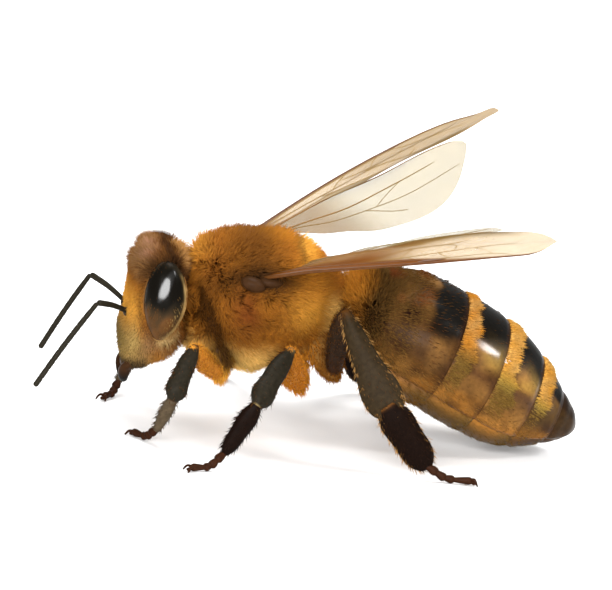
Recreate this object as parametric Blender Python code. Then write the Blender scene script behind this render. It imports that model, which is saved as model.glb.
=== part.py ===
"""Honey bee worker (Apis mellifera), a still life-size model standing on a level floor.

Blender 4.5, metres, +Z up. Run with: blender --background --python part.py

The bee faces -X and its left side is -Y. Lengths and places below are in millimetres from the
middle of the body at floor level, and each mesh is scaled to metres as it is made. The solids
reach out to the tips of the coat. Neighbouring solids keep a gap of GAP.
"""

import math
from typing import NamedTuple

import bmesh
import bpy
from mathutils import Matrix, Vector

MM = 0.001
GAP = 0.03
SIDES = {"left": -1.0, "right": 1.0}

# Trunk: stations along X as (x, bottom z, top z, half width).
THORAX = (
    (-4.32, 2.85, 4.36, 0.72),
    (-4.24, 2.42, 4.70, 1.14),
    (-4.02, 2.00, 5.00, 1.54),
    (-3.55, 1.68, 5.28, 1.88),
    (-2.95, 1.62, 5.45, 2.05),
    (-2.30, 1.72, 5.45, 2.08),
    (-1.65, 1.95, 5.30, 1.92),
    (-1.10, 2.20, 5.00, 1.60),
    (-0.70, 2.45, 4.60, 1.22),
    (-0.44, 2.72, 4.18, 0.82),
    (-0.27, 2.96, 3.92, 0.50),
)
# Where the trunk is parted: collar, middle and hind piece, as (x at mid height, lean from upright).
COLLAR_CUT = (-3.62, math.radians(-14))
HIND_CUT = (-1.25, math.radians(10))
TRUNK_MID_HEIGHT = 3.5

# Abdomen: stations along its own axis as (distance, top, bottom, half width).
WAIST = Vector((-0.25, 0.0, 3.40))
ABDOMEN_SLOPE = math.radians(20.7)
ABDOMEN = (
    (0.02, 0.42, -0.42, 0.42),
    (0.12, 0.76, -0.56, 0.76),
    (0.32, 1.15, -0.78, 1.15),
    (0.60, 1.44, -0.98, 1.48),
    (1.05, 1.68, -1.20, 1.76),
    (1.70, 1.84, -1.36, 1.95),
    (2.60, 1.85, -1.47, 2.03),
    (3.40, 1.79, -1.56, 2.03),
    (4.20, 1.66, -1.60, 1.95),
    (4.90, 1.46, -1.58, 1.77),
    (5.55, 1.13, -1.42, 1.44),
    (6.10, 0.77, -1.14, 1.08),
    (6.58, 0.40, -0.78, 0.70),
    (6.90, 0.10, -0.44, 0.36),
    (7.04, -0.08, -0.24, 0.12),
)
SEGMENT_CUTS = (1.05, 2.95, 4.10, 5.30, 6.22)

# Head: level stations as (z, front x, rear x, half width).
HEAD = (
    (4.80, -5.38, -4.92, 0.42),
    (4.71, -5.60, -4.66, 0.98),
    (4.50, -5.79, -4.50, 1.36),
    (4.10, -5.94, -4.42, 1.62),
    (3.55, -6.01, -4.40, 1.74),
    (2.95, -6.05, -4.44, 1.72),
    (2.45, -6.07, -4.56, 1.52),
    (2.05, -6.04, -4.74, 1.24),
    (1.75, -5.97, -4.95, 0.96),
    (1.52, -5.88, -5.15, 0.70),
    (1.42, -5.76, -5.34, 0.40),
)
EYE_CENTRE = Vector((-5.00, 1.52, 3.66))
EYE_RADII = (0.58, 0.46, 1.02)
EYE_TILT = math.radians(-6)

NECK_RADIUS = 0.50
NECK_SPAN = (-4.75, -4.05)
NECK_HEIGHT = 3.55

JAW_RADII = (0.30, 0.27, 0.22)
MANDIBLE = (Vector((-5.62, 0.50, 1.72)), Vector((-5.84, 0.42, 1.42)), Vector((-5.76, 0.26, 1.12)))
PROBOSCIS = (Vector((-5.38, 0.0, 1.62)), Vector((-5.16, 0.0, 1.50)), Vector((-4.78, 0.0, 1.88)))
PROBOSCIS_RADII = (0.20, 0.25, 0.25)
PROBOSCIS_FRONT = -5.46
TEGULA_CENTRE = Vector((-2.86, 1.74, 4.30))
TEGULA_RADII = (0.42, 0.34, 0.30)

# Feelers, as base, elbow and tip. They are 0.5 mm thick, as the thinnest solids are.
FEELER_RADIUS = 0.25
FEELERS = {
    "left": (Vector((-5.83, -0.40, 2.95)), Vector((-6.77, -1.30, 3.36)), Vector((-8.12, -1.75, 1.24))),
    "right": (Vector((-5.83, 0.40, 2.98)), Vector((-6.77, 1.32, 3.44)), Vector((-7.86, 1.75, 1.34))),
}


class Leg(NamedTuple):
    """The joints of one leg, from where it leaves the trunk to the toe on the floor."""

    root: Vector
    hip: Vector
    knee: Vector
    ankle: Vector
    heel: Vector
    toe: Vector


# A foot's centre line lies at FOOT_LEVEL, so trimming it at the floor leaves a small flat.
FOOT_RADIUS = 0.25
FOOT_LEVEL = 0.21
LEGS = {
    "foreleg_left": Leg(
        Vector((-3.55, -0.60, 2.50)),
        Vector((-3.36, -0.86, 1.60)),
        Vector((-4.26, -2.30, 2.62)),
        Vector((-4.73, -2.90, 1.42)),
        Vector((-4.99, -2.35, 0.42)),
        Vector((-5.50, -1.78, FOOT_LEVEL)),
    ),
    "foreleg_right": Leg(
        Vector((-3.55, 0.60, 2.50)),
        Vector((-3.36, 0.86, 1.60)),
        Vector((-4.45, 2.25, 2.60)),
        Vector((-5.13, 2.62, 1.35)),
        Vector((-5.64, 2.00, 0.46)),
        Vector((-6.02, 1.52, FOOT_LEVEL)),
    ),
    "midleg_left": Leg(
        Vector((-1.80, -0.65, 2.45)),
        Vector((-1.28, -1.15, 1.56)),
        Vector((-1.89, -3.02, 2.94)),
        Vector((-2.74, -4.30, 1.84)),
        Vector((-3.41, -4.28, 0.49)),
        Vector((-4.25, -4.62, FOOT_LEVEL)),
    ),
    "midleg_right": Leg(
        Vector((-1.80, 0.65, 2.45)),
        Vector((-1.28, 1.15, 1.56)),
        Vector((-1.70, 3.05, 2.90)),
        Vector((-2.10, 4.45, 1.84)),
        Vector((-2.38, 4.72, 0.48)),
        Vector((-2.90, 5.42, FOOT_LEVEL)),
    ),
    "hindleg_left": Leg(
        Vector((-1.00, -0.65, 2.95)),
        Vector((-0.50, -1.50, 2.08)),
        Vector((-0.58, -2.95, 4.08)),
        Vector((0.74, -3.70, 1.82)),
        Vector((1.86, -3.62, 0.42)),
        Vector((3.08, -3.72, FOOT_LEVEL)),
    ),
    "hindleg_right": Leg(
        Vector((-1.00, 0.65, 2.95)),
        Vector((-0.50, 1.50, 2.08)),
        Vector((-0.48, 2.95, 3.90)),
        Vector((0.52, 4.00, 1.66)),
        Vector((1.32, 4.45, 0.42)),
        Vector((2.28, 5.12, FOOT_LEVEL)),
    ),
}
# Half width and half thickness at the start, the middle and the end of each length of a leg.
LIMB_SIZES = {
    "foreleg": {
        "coxa": ((0.46, 0.42), (0.44, 0.42), (0.30, 0.30)),
        "femur": ((0.27, 0.27), (0.31, 0.28), (0.26, 0.25)),
        "tibia": ((0.25, 0.25), (0.30, 0.26), (0.28, 0.25)),
        "basitarsus": ((0.25, 0.25), (0.26, 0.25), (0.25, 0.25)),
    },
    "midleg": {
        "coxa": ((0.48, 0.44), (0.46, 0.42), (0.31, 0.31)),
        "femur": ((0.28, 0.27), (0.33, 0.29), (0.27, 0.25)),
        "tibia": ((0.25, 0.25), (0.33, 0.27), (0.35, 0.26)),
        "basitarsus": ((0.27, 0.25), (0.29, 0.25), (0.25, 0.25)),
    },
    "hindleg": {
        "coxa": ((0.52, 0.46), (0.50, 0.44), (0.34, 0.34)),
        "femur": ((0.30, 0.28), (0.38, 0.31), (0.30, 0.26)),
        "tibia": ((0.27, 0.25), (0.44, 0.28), (0.56, 0.27)),
        "basitarsus": ((0.46, 0.26), (0.50, 0.27), (0.33, 0.25)),
    },
}


class WingLie(NamedTuple):
    """How a side's wings lie: base, swing out, rise, tilt of the hind edge, fold of the hind wing, arch up."""

    base: Vector
    swing: float
    rise: float
    tilt: float
    fold: float
    arch: float


# Wings. Each row is a place along the span, then the leading and the trailing edge along the chord.
WING_THICKNESS = 0.5
WING_SQUARENESS = 0.55
WING_LIES = {
    "left": WingLie(
        Vector((-2.80, -1.50, 4.39)),
        math.radians(35.2), math.radians(17.3), math.radians(7), math.radians(8), 0.08,
    ),
    "right": WingLie(
        Vector((-2.98, 1.50, 4.62)),
        math.radians(30.6), math.radians(22.7), math.radians(20), math.radians(40), 0.18,
    ),
}
FOREWING = (
    (-0.30, 0.14, 0.59), (0.20, 0.04, 0.60), (1.00, -0.14, 0.80), (2.20, -0.32, 1.38), (3.50, -0.50, 1.88),
    (4.85, -0.63, 2.16), (6.00, -0.69, 2.18), (7.10, -0.65, 1.86), (7.75, -0.51, 1.48), (8.17, -0.27, 1.12),
    (8.42, 0.00, 0.80), (8.52, 0.20, 0.56),
)
HINDWING = (
    (0.55, 0.70, 1.03), (1.10, 0.92, 1.58), (1.70, 1.22, 2.30), (2.40, 1.55, 3.02), (3.20, 1.87, 3.56),
    (4.00, 2.10, 3.72), (4.90, 2.26, 3.48), (5.45, 2.28, 3.12), (5.84, 2.31, 2.82), (6.04, 2.42, 2.62),
)
WING_HOOKS = ((0.60, 0.72), (6.20, 2.36))

SECTION_POINTS = 24
LIMB_POINTS = 10
WING_POINTS = 14

# Finish of each kind of piece: colour, roughness.
FINISHES = {
    "fur": ((0.42, 0.20, 0.05), 0.85),
    "head": ((0.25, 0.13, 0.05), 0.75),
    "eye": ((0.01, 0.01, 0.012), 0.15),
    "shell": ((0.05, 0.03, 0.02), 0.35),
    "band": ((0.30, 0.17, 0.05), 0.45),
    "feeler": ((0.03, 0.03, 0.035), 0.45),
    "wing": ((0.45, 0.28, 0.12), 0.35),
    "foot": ((0.12, 0.04, 0.02), 0.50),
}


def clear_scene() -> None:
    """Removes every object of the startup scene."""
    for obj in list(bpy.data.objects):
        bpy.data.objects.remove(obj)


def new_collection(name: str) -> bpy.types.Collection:
    """A collection of this name, linked to the scene."""
    collection = bpy.data.collections.new(name)
    bpy.context.scene.collection.children.link(collection)
    return collection


def finish(name: str, kind: str) -> bpy.types.Material:
    """A Principled material of its own for one object."""
    colour, roughness = FINISHES[kind]
    material = bpy.data.materials.new(name)
    material.use_nodes = True
    shader = material.node_tree.nodes["Principled BSDF"]
    shader.inputs["Base Color"].default_value = (*colour, 1.0)
    shader.inputs["Roughness"].default_value = roughness
    material.diffuse_color = (*colour, 1.0)
    return material


def mesh_object(name: str, form: bmesh.types.BMesh, kind: str, collection) -> bpy.types.Object:
    """Turns a form in millimetres into a smooth shaded object in metres."""
    bmesh.ops.recalc_face_normals(form, faces=form.faces)
    bmesh.ops.scale(form, vec=(MM, MM, MM), verts=form.verts)
    mesh = bpy.data.meshes.new(name)
    form.to_mesh(mesh)
    form.free()
    mesh.shade_smooth()
    mesh.set_sharp_from_angle(angle=math.radians(40))
    obj = bpy.data.objects.new(name, mesh)
    mesh.materials.append(finish(name, kind))
    collection.objects.link(obj)
    return obj


def loft(rings: list[list[Vector]]) -> bmesh.types.BMesh:
    """A closed form through rings of equally many points, with a flat cap at each end."""
    form = bmesh.new()
    loops = [[form.verts.new(point) for point in ring] for ring in rings]
    for near, far in zip(loops, loops[1:]):
        for k in range(len(near)):
            j = (k + 1) % len(near)
            form.faces.new((near[k], near[j], far[j], far[k]))
    form.faces.new(reversed(loops[0]))
    form.faces.new(loops[-1])
    bmesh.ops.recalc_face_normals(form, faces=form.faces)
    return form


def section(centre: Vector, across: Vector, up: Vector, count: int, power: float = 1.0) -> list[Vector]:
    """An oval of count points. A power under 1 makes it squarer."""
    points = []
    for k in range(count):
        angle = 2 * math.pi * k / count
        c, s = math.cos(angle), math.sin(angle)
        points.append(
            centre
            + across * math.copysign(abs(c) ** power, c)
            + up * math.copysign(abs(s) ** power, s)
        )
    return points


def trim(form: bmesh.types.BMesh, point: Vector, outward: Vector) -> None:
    """Cuts off what lies beyond the plane through the point, and closes the cut."""
    geometry = form.verts[:] + form.edges[:] + form.faces[:]
    bmesh.ops.bisect_plane(
        form, geom=geometry, dist=1e-6, plane_co=point, plane_no=outward, clear_outer=True
    )
    rim = [edge for edge in form.edges if edge.is_boundary]
    if rim:
        bmesh.ops.edgeloop_fill(form, edges=rim)
    bmesh.ops.recalc_face_normals(form, faces=form.faces)


def part_between(form: bmesh.types.BMesh, start, end) -> bmesh.types.BMesh:
    """A copy of the form kept between two planes, each (point, direction) or None."""
    piece = form.copy()
    if start:
        trim(piece, start[0] + start[1] * GAP / 2, -start[1])
    if end:
        trim(piece, end[0] - end[1] * GAP / 2, end[1])
    return piece


def thorax_form(grow: float = 0.0) -> bmesh.types.BMesh:
    """The whole trunk, from the collar to the waist."""
    rings = []
    for x, bottom, top, half_width in THORAX:
        centre = Vector((x, 0.0, (bottom + top) / 2))
        half_height = Vector((0.0, 0.0, (top - bottom) / 2 + grow))
        rings.append(section(centre, Vector((0.0, half_width + grow, 0.0)), half_height, SECTION_POINTS))
    return loft(rings)


def abdomen_frame() -> tuple[Vector, Vector]:
    """The abdomen's axis, pointing back, and its upward direction."""
    slope = ABDOMEN_SLOPE
    return (
        Vector((math.cos(slope), 0.0, -math.sin(slope))),
        Vector((math.sin(slope), 0.0, math.cos(slope))),
    )


def abdomen_form() -> bmesh.types.BMesh:
    """The whole abdomen, from the waist to the tip."""
    axis, up = abdomen_frame()
    rings = []
    for distance, top, bottom, half_width in ABDOMEN:
        centre = WAIST + axis * distance + up * (top + bottom) / 2
        rings.append(section(centre, Vector((0.0, half_width, 0.0)), up * (top - bottom) / 2, SECTION_POINTS))
    return loft(rings)


def head_form(grow: float = 0.0) -> bmesh.types.BMesh:
    """The head without its eyes: a wedge, wide at the eyes and narrow at the mouth."""
    rings = []
    for z, front, rear, half_width in HEAD:
        centre = Vector(((front + rear) / 2, 0.0, z))
        half_depth = Vector(((rear - front) / 2 + grow, 0.0, 0.0))
        rings.append(section(centre, Vector((0.0, half_width + grow, 0.0)), half_depth, SECTION_POINTS, 0.86))
    return loft(rings)


def ball_form(centre: Vector, radii: tuple, tilt: float = 0.0, grow: float = 0.0) -> bmesh.types.BMesh:
    """An ellipsoid, tilted about Y."""
    form = bmesh.new()
    bmesh.ops.create_uvsphere(form, u_segments=16, v_segments=10, radius=1.0)
    bmesh.ops.scale(form, vec=[radius + grow for radius in radii], verts=form.verts)
    bmesh.ops.rotate(form, cent=(0, 0, 0), matrix=Matrix.Rotation(tilt, 3, "Y"), verts=form.verts)
    bmesh.ops.translate(form, vec=centre, verts=form.verts)
    return form


def tube_form(path: list[Vector], radii: list[float], count: int = LIMB_POINTS) -> bmesh.types.BMesh:
    """A round tube along a bent path, with rounded ends."""
    first, last = (path[1] - path[0]).normalized(), (path[-1] - path[-2]).normalized()
    stops = [(path[0] - first * radii[0] * 0.75, first, radii[0] * 0.45)]
    stops.append((path[0] - first * radii[0] * 0.35, first, radii[0] * 0.86))
    for k, point in enumerate(path):
        before = (point - path[k - 1]).normalized() if k else first
        after = (path[k + 1] - point).normalized() if k + 1 < len(path) else last
        stops.append((point, (before + after).normalized(), radii[k]))
    stops.append((path[-1] + last * radii[-1] * 0.35, last, radii[-1] * 0.86))
    stops.append((path[-1] + last * radii[-1] * 0.75, last, radii[-1] * 0.45))
    across = first.orthogonal().normalized()
    rings = []
    for centre, along, radius in stops:
        across = (across - along * across.dot(along)).normalized()
        rings.append(section(centre, across * radius, along.cross(across) * radius, count))
    return loft(rings)


def limb_form(start: Vector, end: Vector, sizes: tuple) -> bmesh.types.BMesh:
    """One length of a leg: flattened sideways, swelling from start to end, with rounded ends."""
    along = (end - start).normalized()
    length = (end - start).length
    thin = (Vector((0, 1, 0)) - along * along.y).normalized()
    wide = along.cross(thin)
    (w0, t0), (w1, t1), (w2, t2) = sizes
    stations = (
        (-0.70 * w0, 0.50 * w0, 0.50 * t0),
        (-0.30 * w0, 0.88 * w0, 0.88 * t0),
        (0.08 * length, w0, t0),
        (0.32 * length, (w0 + w1) / 2, (t0 + t1) / 2),
        (0.58 * length, w1, t1),
        (0.82 * length, (w1 + 2 * w2) / 3, (t1 + 2 * t2) / 3),
        (0.97 * length, w2, t2),
        (length + 0.30 * t2, 0.85 * w2, 0.88 * t2),
        (length + 0.70 * t2, 0.45 * w2, 0.50 * t2),
    )
    rings = [
        section(start + along * distance, wide * half_width, thin * half_thickness, LIMB_POINTS)
        for distance, half_width, half_thickness in stations
    ]
    return loft(rings)


def mitre(before: Vector, joint: Vector, after: Vector) -> tuple[Vector, Vector]:
    """The plane that parts two lengths at their joint: its point and its direction, outward."""
    return joint, ((joint - before).normalized() + (after - joint).normalized()).normalized()


def cut_by(obj: bpy.types.Object, cutter: bpy.types.Object) -> None:
    """Takes the cutter's shape out of the object."""
    modifier = obj.modifiers.new(f"clear of {cutter.name}", "BOOLEAN")
    modifier.operation = "DIFFERENCE"
    modifier.solver = "EXACT"
    modifier.object = cutter


def make_cutter(name: str, form: bmesh.types.BMesh, cutters) -> bpy.types.Object:
    """A hidden object that is only cut with."""
    obj = mesh_object(name, form, "shell", cutters)
    obj.hide_render = True
    obj.display_type = "WIRE"
    return obj


def make_thorax(parts) -> None:
    """The trunk's three pieces, parted by leaning planes."""
    whole = thorax_form()
    planes = []
    for x, lean in (COLLAR_CUT, HIND_CUT):
        planes.append((Vector((x, 0.0, TRUNK_MID_HEIGHT)), Vector((math.cos(lean), 0.0, math.sin(lean)))))
    waist = (Vector((WAIST.x, 0.0, WAIST.z)), abdomen_frame()[0])
    mesh_object("prothorax", part_between(whole, None, planes[0]), "fur", parts)
    mesh_object("mesothorax", part_between(whole, planes[0], planes[1]), "fur", parts)
    mesh_object("propodeum", part_between(whole, planes[1], waist), "fur", parts)
    whole.free()


def make_abdomen(parts) -> None:
    """The abdomen's six segments, parted by planes across its axis."""
    whole = abdomen_form()
    axis, _ = abdomen_frame()
    planes = [(WAIST, axis)] + [(WAIST + axis * cut, axis) for cut in SEGMENT_CUTS] + [None]
    for k, (start, end) in enumerate(zip(planes, planes[1:])):
        kind = "fur" if k == 0 else "band"
        mesh_object(f"abdomen_segment_{k + 1}", part_between(whole, start, end), kind, parts)
    whole.free()


def make_head(parts, cutters, head_cutter, thorax_cutter) -> None:
    """The head with a socket for each eye, its mouth parts and the neck."""
    head = mesh_object("head", head_form(), "head", parts)
    for side, sign in SIDES.items():
        centre = Vector((EYE_CENTRE.x, sign * EYE_CENTRE.y, EYE_CENTRE.z))
        mesh_object(f"eye_{side}", ball_form(centre, EYE_RADII, EYE_TILT), "eye", parts)
        socket = ball_form(centre, EYE_RADII, EYE_TILT, GAP)
        cut_by(head, make_cutter(f"socket_cutter_{side}", socket, cutters))
        jaw_path = [Vector((point.x, sign * point.y, point.z)) for point in MANDIBLE]
        jaw = mesh_object(f"mandible_{side}", tube_form(jaw_path, list(JAW_RADII)), "shell", parts)
        cut_by(jaw, head_cutter)
    tongue = tube_form(list(PROBOSCIS), list(PROBOSCIS_RADII))
    trim(tongue, Vector((PROBOSCIS_FRONT, 0.0, 0.0)), Vector((-1, 0, 0)))
    tongue = mesh_object("proboscis", tongue, "shell", parts)
    cut_by(tongue, head_cutter)
    neck_path = [Vector((x, 0.0, NECK_HEIGHT)) for x in NECK_SPAN]
    neck = mesh_object("neck", tube_form(neck_path, [NECK_RADIUS] * 2, SECTION_POINTS), "shell", parts)
    cut_by(neck, head_cutter)
    cut_by(neck, thorax_cutter)


def make_feelers(parts, head_cutter) -> None:
    """Each feeler's stalk and its whip, parted at the elbow."""
    for side, (base, elbow, tip) in FEELERS.items():
        joint, outward = mitre(base, elbow, tip)
        stalk = tube_form([base, elbow], [FEELER_RADIUS] * 2)
        trim(stalk, joint - outward * GAP / 2, outward)
        cut_by(mesh_object(f"antenna_{side}_scape", stalk, "feeler", parts), head_cutter)
        middle = (elbow + tip) / 2 + Vector((0.0, 0.0, 0.06))
        whip = tube_form([elbow, middle, tip], [FEELER_RADIUS] * 3)
        trim(whip, joint + outward * GAP / 2, -outward)
        mesh_object(f"antenna_{side}_flagellum", whip, "feeler", parts)


def make_leg(name: str, leg: Leg, parts, thorax_cutter) -> None:
    """One leg's five lengths, parted at the joints, with a flat under its foot."""
    joints = list(leg)
    sizes = LIMB_SIZES[name.split("_")[0]]
    planes = [None] + [mitre(*joints[k - 1 : k + 2]) for k in range(1, 5)] + [None]
    for k, length in enumerate(("coxa", "femur", "tibia", "basitarsus")):
        whole = limb_form(joints[k], joints[k + 1], sizes[length])
        piece = mesh_object(f"{name}_{length}", part_between(whole, planes[k], planes[k + 1]), "shell", parts)
        whole.free()
        if length in ("coxa", "femur"):
            cut_by(piece, thorax_cutter)
    touch_down = leg.heel.lerp(leg.toe, 0.45)
    touch_down.z = FOOT_LEVEL + 0.02
    whole = tube_form([leg.heel, touch_down, leg.toe], [FOOT_RADIUS] * 3)
    foot = part_between(whole, planes[4], None)
    whole.free()
    trim(foot, Vector((0, 0, 0)), Vector((0, 0, -1)))
    mesh_object(f"{name}_tarsus", foot, "foot", parts)


def wing_matrix(side: str) -> Matrix:
    """The place of a fore wing: span, chord and normal at its base."""
    flip = Vector((1.0, SIDES[side], 1.0))
    lie = WING_LIES[side]
    level = Vector((math.cos(lie.swing), math.sin(lie.swing), 0.0)) * flip
    span = level * math.cos(lie.rise) + Vector((0.0, 0.0, math.sin(lie.rise)))
    chord = Vector((math.sin(lie.swing), -math.cos(lie.swing), 0.0)) * flip
    upward = span.cross(chord)
    upward = upward * math.copysign(1.0, upward.z)
    chord = chord * math.cos(lie.tilt) + upward * math.sin(lie.tilt)
    frame = Matrix((span, chord, span.cross(chord))).transposed().to_4x4()
    return Matrix.Translation(lie.base) @ frame


def hindwing_matrix(side: str) -> Matrix:
    """The fore wing's place, folded down about the line along which the two wings hook together."""
    first, last = (Vector((u, v, 0.0)) for u, v in WING_HOOKS)
    fold = Matrix.Rotation(WING_LIES[side].fold * SIDES[side], 4, last - first)
    return wing_matrix(side) @ Matrix.Translation(first) @ fold @ Matrix.Translation(-first)


def wing_form(rows: tuple, side: str, matrix: Matrix, grow: float = 0.0) -> bmesh.types.BMesh:
    """A wing as a plate WING_THICKNESS thick, with rounded edges and its middle arched up along the span."""
    upward = math.copysign(1.0, matrix.col[2].z)
    rings = []
    for u, lead, trail in rows:
        lift = WING_LIES[side].arch * math.sin(math.pi * max(u, 0.0) / FOREWING[-1][0])
        centre = Vector((u, (lead + trail) / 2, lift * upward))
        across = Vector((0.0, (trail - lead) / 2 + grow, 0.0))
        up = Vector((0.0, 0.0, WING_THICKNESS / 2 + grow))
        ring = section(centre, across, up, WING_POINTS, WING_SQUARENESS)
        rings.append([matrix @ point for point in ring])
    return loft(rings)


def make_wings(parts, cutters, thorax_cutter) -> None:
    """Both pairs of wings, and the small scale over each fore wing's base."""
    for side, sign in SIDES.items():
        centre = Vector((TEGULA_CENTRE.x, sign * TEGULA_CENTRE.y, TEGULA_CENTRE.z))
        tegula = mesh_object(f"tegula_{side}", ball_form(centre, TEGULA_RADII), "shell", parts)
        cut_by(tegula, thorax_cutter)
        clear = make_cutter(f"tegula_cutter_{side}", ball_form(centre, TEGULA_RADII, grow=GAP), cutters)
        place = wing_matrix(side)
        forewing = mesh_object(f"forewing_{side}", wing_form(FOREWING, side, place), "wing", parts)
        cut_by(forewing, thorax_cutter)
        cut_by(forewing, clear)
        grown = make_cutter(f"forewing_cutter_{side}", wing_form(FOREWING, side, place, GAP), cutters)
        hindwing = wing_form(HINDWING, side, hindwing_matrix(side))
        hindwing = mesh_object(f"hindwing_{side}", hindwing, "wing", parts)
        cut_by(hindwing, thorax_cutter)
        cut_by(hindwing, grown)


def set_on_origin(parts: bpy.types.Collection) -> None:
    """Moves the bee so that the middle of its box is over the origin, through one parent."""
    bpy.context.view_layer.update()
    graph = bpy.context.evaluated_depsgraph_get()
    corners = [
        obj.matrix_world @ Vector(corner)
        for obj in parts.objects
        for corner in obj.evaluated_get(graph).bound_box
    ]
    low = [min(corner[axis] for corner in corners) for axis in range(3)]
    high = [max(corner[axis] for corner in corners) for axis in range(3)]
    stand = bpy.data.objects.new("honey_bee_origin", None)
    parts.objects.link(stand)
    stand.location = (-(low[0] + high[0]) / 2, -(low[1] + high[1]) / 2, 0.0)
    for obj in bpy.data.objects:
        if obj is not stand:
            obj.parent = stand


def main() -> None:
    clear_scene()
    parts = new_collection("honey_bee")
    cutters = new_collection("cutters")
    thorax_cutter = make_cutter("thorax_cutter", thorax_form(GAP), cutters)
    head_cutter = make_cutter("head_cutter", head_form(GAP), cutters)
    make_head(parts, cutters, head_cutter, thorax_cutter)
    make_thorax(parts)
    make_abdomen(parts)
    make_feelers(parts, head_cutter)
    for name, leg in LEGS.items():
        make_leg(name, leg, parts, thorax_cutter)
    make_wings(parts, cutters, thorax_cutter)
    set_on_origin(parts)


main()
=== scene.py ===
"""Looks of the honey bee worker: skin, shell plates, eyes, legs, wings and a coat of solid tufts.

Sizes are millimetres in the bee's own frame: it faces -X, its left is -Y and the floor is z = 0.
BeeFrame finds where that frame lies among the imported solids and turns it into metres.
"""

from __future__ import annotations

import logging
import math
from dataclasses import dataclass, field
from enum import Enum
from functools import cache

import bpy
import numpy as np
from mathutils import Matrix, Vector


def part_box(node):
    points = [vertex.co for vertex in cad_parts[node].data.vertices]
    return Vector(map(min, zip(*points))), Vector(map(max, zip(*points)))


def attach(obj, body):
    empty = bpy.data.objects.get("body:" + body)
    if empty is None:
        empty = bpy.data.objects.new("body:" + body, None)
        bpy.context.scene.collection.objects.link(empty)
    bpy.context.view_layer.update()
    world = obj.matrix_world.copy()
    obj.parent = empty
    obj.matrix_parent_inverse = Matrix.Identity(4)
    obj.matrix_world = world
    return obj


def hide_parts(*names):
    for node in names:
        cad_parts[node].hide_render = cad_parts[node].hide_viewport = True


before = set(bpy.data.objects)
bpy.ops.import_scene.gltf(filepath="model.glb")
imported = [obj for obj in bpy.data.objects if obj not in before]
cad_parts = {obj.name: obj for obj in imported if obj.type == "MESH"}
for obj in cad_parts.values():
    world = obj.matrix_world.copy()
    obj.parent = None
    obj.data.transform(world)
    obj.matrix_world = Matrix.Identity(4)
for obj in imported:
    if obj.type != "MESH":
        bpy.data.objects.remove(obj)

MM = 0.001
DEG = math.pi / 180
TURN = 2 * math.pi
SIDES = {"left": -1.0, "right": 1.0}
ROOT = "root"
MOST_TUFTS = 19_500
LEAST = 1e-12
log = logging.getLogger("honey_bee")
Array = np.ndarray
Triple = tuple[float, float, float]


class Slot(Enum):
    """The record's material slots."""

    FUR = "fur"
    SHELL = "shell"
    EYE = "eye"
    FEELER = "feeler"
    WING = "wing"
    FOOT = "foot"


def shade(red: int, green: int, blue: int) -> Triple:
    """A linear colour from its display values, 0 to 255."""
    return tuple(
        (v / 255 / 12.92) if v < 11 else ((v / 255 + 0.055) / 1.055) ** 2.4 for v in (red, green, blue)
    )


@dataclass(frozen=True)
class Palette:
    """The bee's colours: first those of many places, then those of one place each."""

    gold: Triple = shade(226, 162, 62)
    blond: Triple = shade(246, 200, 112)
    orange: Triple = shade(190, 120, 38)
    amber: Triple = shade(150, 92, 32)
    straw: Triple = shade(222, 188, 124)
    brown: Triple = shade(96, 58, 20)
    olive: Triple = shade(100, 76, 38)
    umber: Triple = shade(52, 32, 16)
    black: Triple = shade(12, 10, 7)
    soot: Triple = shade(34, 30, 22)
    honey: Triple = shade(132, 92, 44)
    bark: Triple = shade(48, 26, 14)
    horn: Triple = shade(196, 160, 104)
    tan: Triple = shade(160, 130, 76)
    rose: Triple = shade(146, 102, 70)
    rust: Triple = shade(122, 60, 26)
    blush: Triple = shade(204, 154, 128)
    # Partly golden hair, partly painted highlight along the top of the trunk.
    top_gold_and_highlight: Triple = shade(232, 154, 38)
    # Painted highlight: a lighter stripe down the front of the face.
    face_painted_highlight: Triple = shade(188, 162, 96)
    face_front: Triple = shade(136, 112, 60)
    face_edge: Triple = shade(84, 68, 36)
    mouth_edge: Triple = shade(52, 42, 28)
    crown: Triple = shade(134, 98, 60)
    nape: Triple = shade(172, 126, 72)
    collar: Triple = shade(66, 38, 10)
    # Painted highlight, partly the plates' olive tone: a lighter patch on the back plates' sides.
    back_olive_highlight: Triple = shade(142, 112, 50)
    back_patch: Triple = shade(58, 34, 20)
    back_end: Triple = shade(50, 36, 16)
    # Darker towards the bottom of the belly.
    belly_bottom: Triple = shade(70, 52, 22)
    eye_grey: Triple = shade(66, 56, 38)
    eye_low: Triple = shade(84, 54, 26)
    eye_rim: Triple = shade(176, 144, 90)
    margin: Triple = shade(160, 126, 76)
    margin_dark: Triple = shade(104, 70, 34)
    shield: Triple = shade(70, 56, 28)
    hind_shin: Triple = shade(44, 34, 20)
    pitch: Triple = shade(18, 8, 4)
    fore_foot: Triple = shade(76, 64, 48)
    bristle: Triple = shade(30, 16, 9)
    wing: Triple = shade(166, 136, 84)
    wing_end: Triple = shade(176, 154, 112)
    wing_haze: Triple = shade(140, 112, 62)
    wing_hem: Triple = shade(88, 66, 24)
    wing_root: Triple = shade(100, 54, 5)
    hind_wing: Triple = shade(132, 116, 70)
    hind_root: Triple = shade(104, 62, 20)
    hind_vein: Triple = shade(118, 84, 46)
    fore_vein: Triple = shade(84, 48, 16)
    waist_hair: Triple = shade(96, 68, 32)
    band: Triple = shade(206, 146, 52)
    band_pale: Triple = shade(200, 166, 104)
    band_low: Triple = shade(112, 86, 40)
    band_olive: Triple = shade(158, 134, 62)
    # Darker hair towards the bottom of the belly.
    belly_bottom_hair: Triple = shade(96, 74, 34)
    copper: Triple = shade(176, 108, 60)


HUE = Palette()


# Numbers and surfaces


def unit(vectors: Array) -> Array:
    """Each vector at length one."""
    return vectors / np.maximum(np.linalg.norm(vectors, axis=-1, keepdims=True), LEAST)


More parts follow.
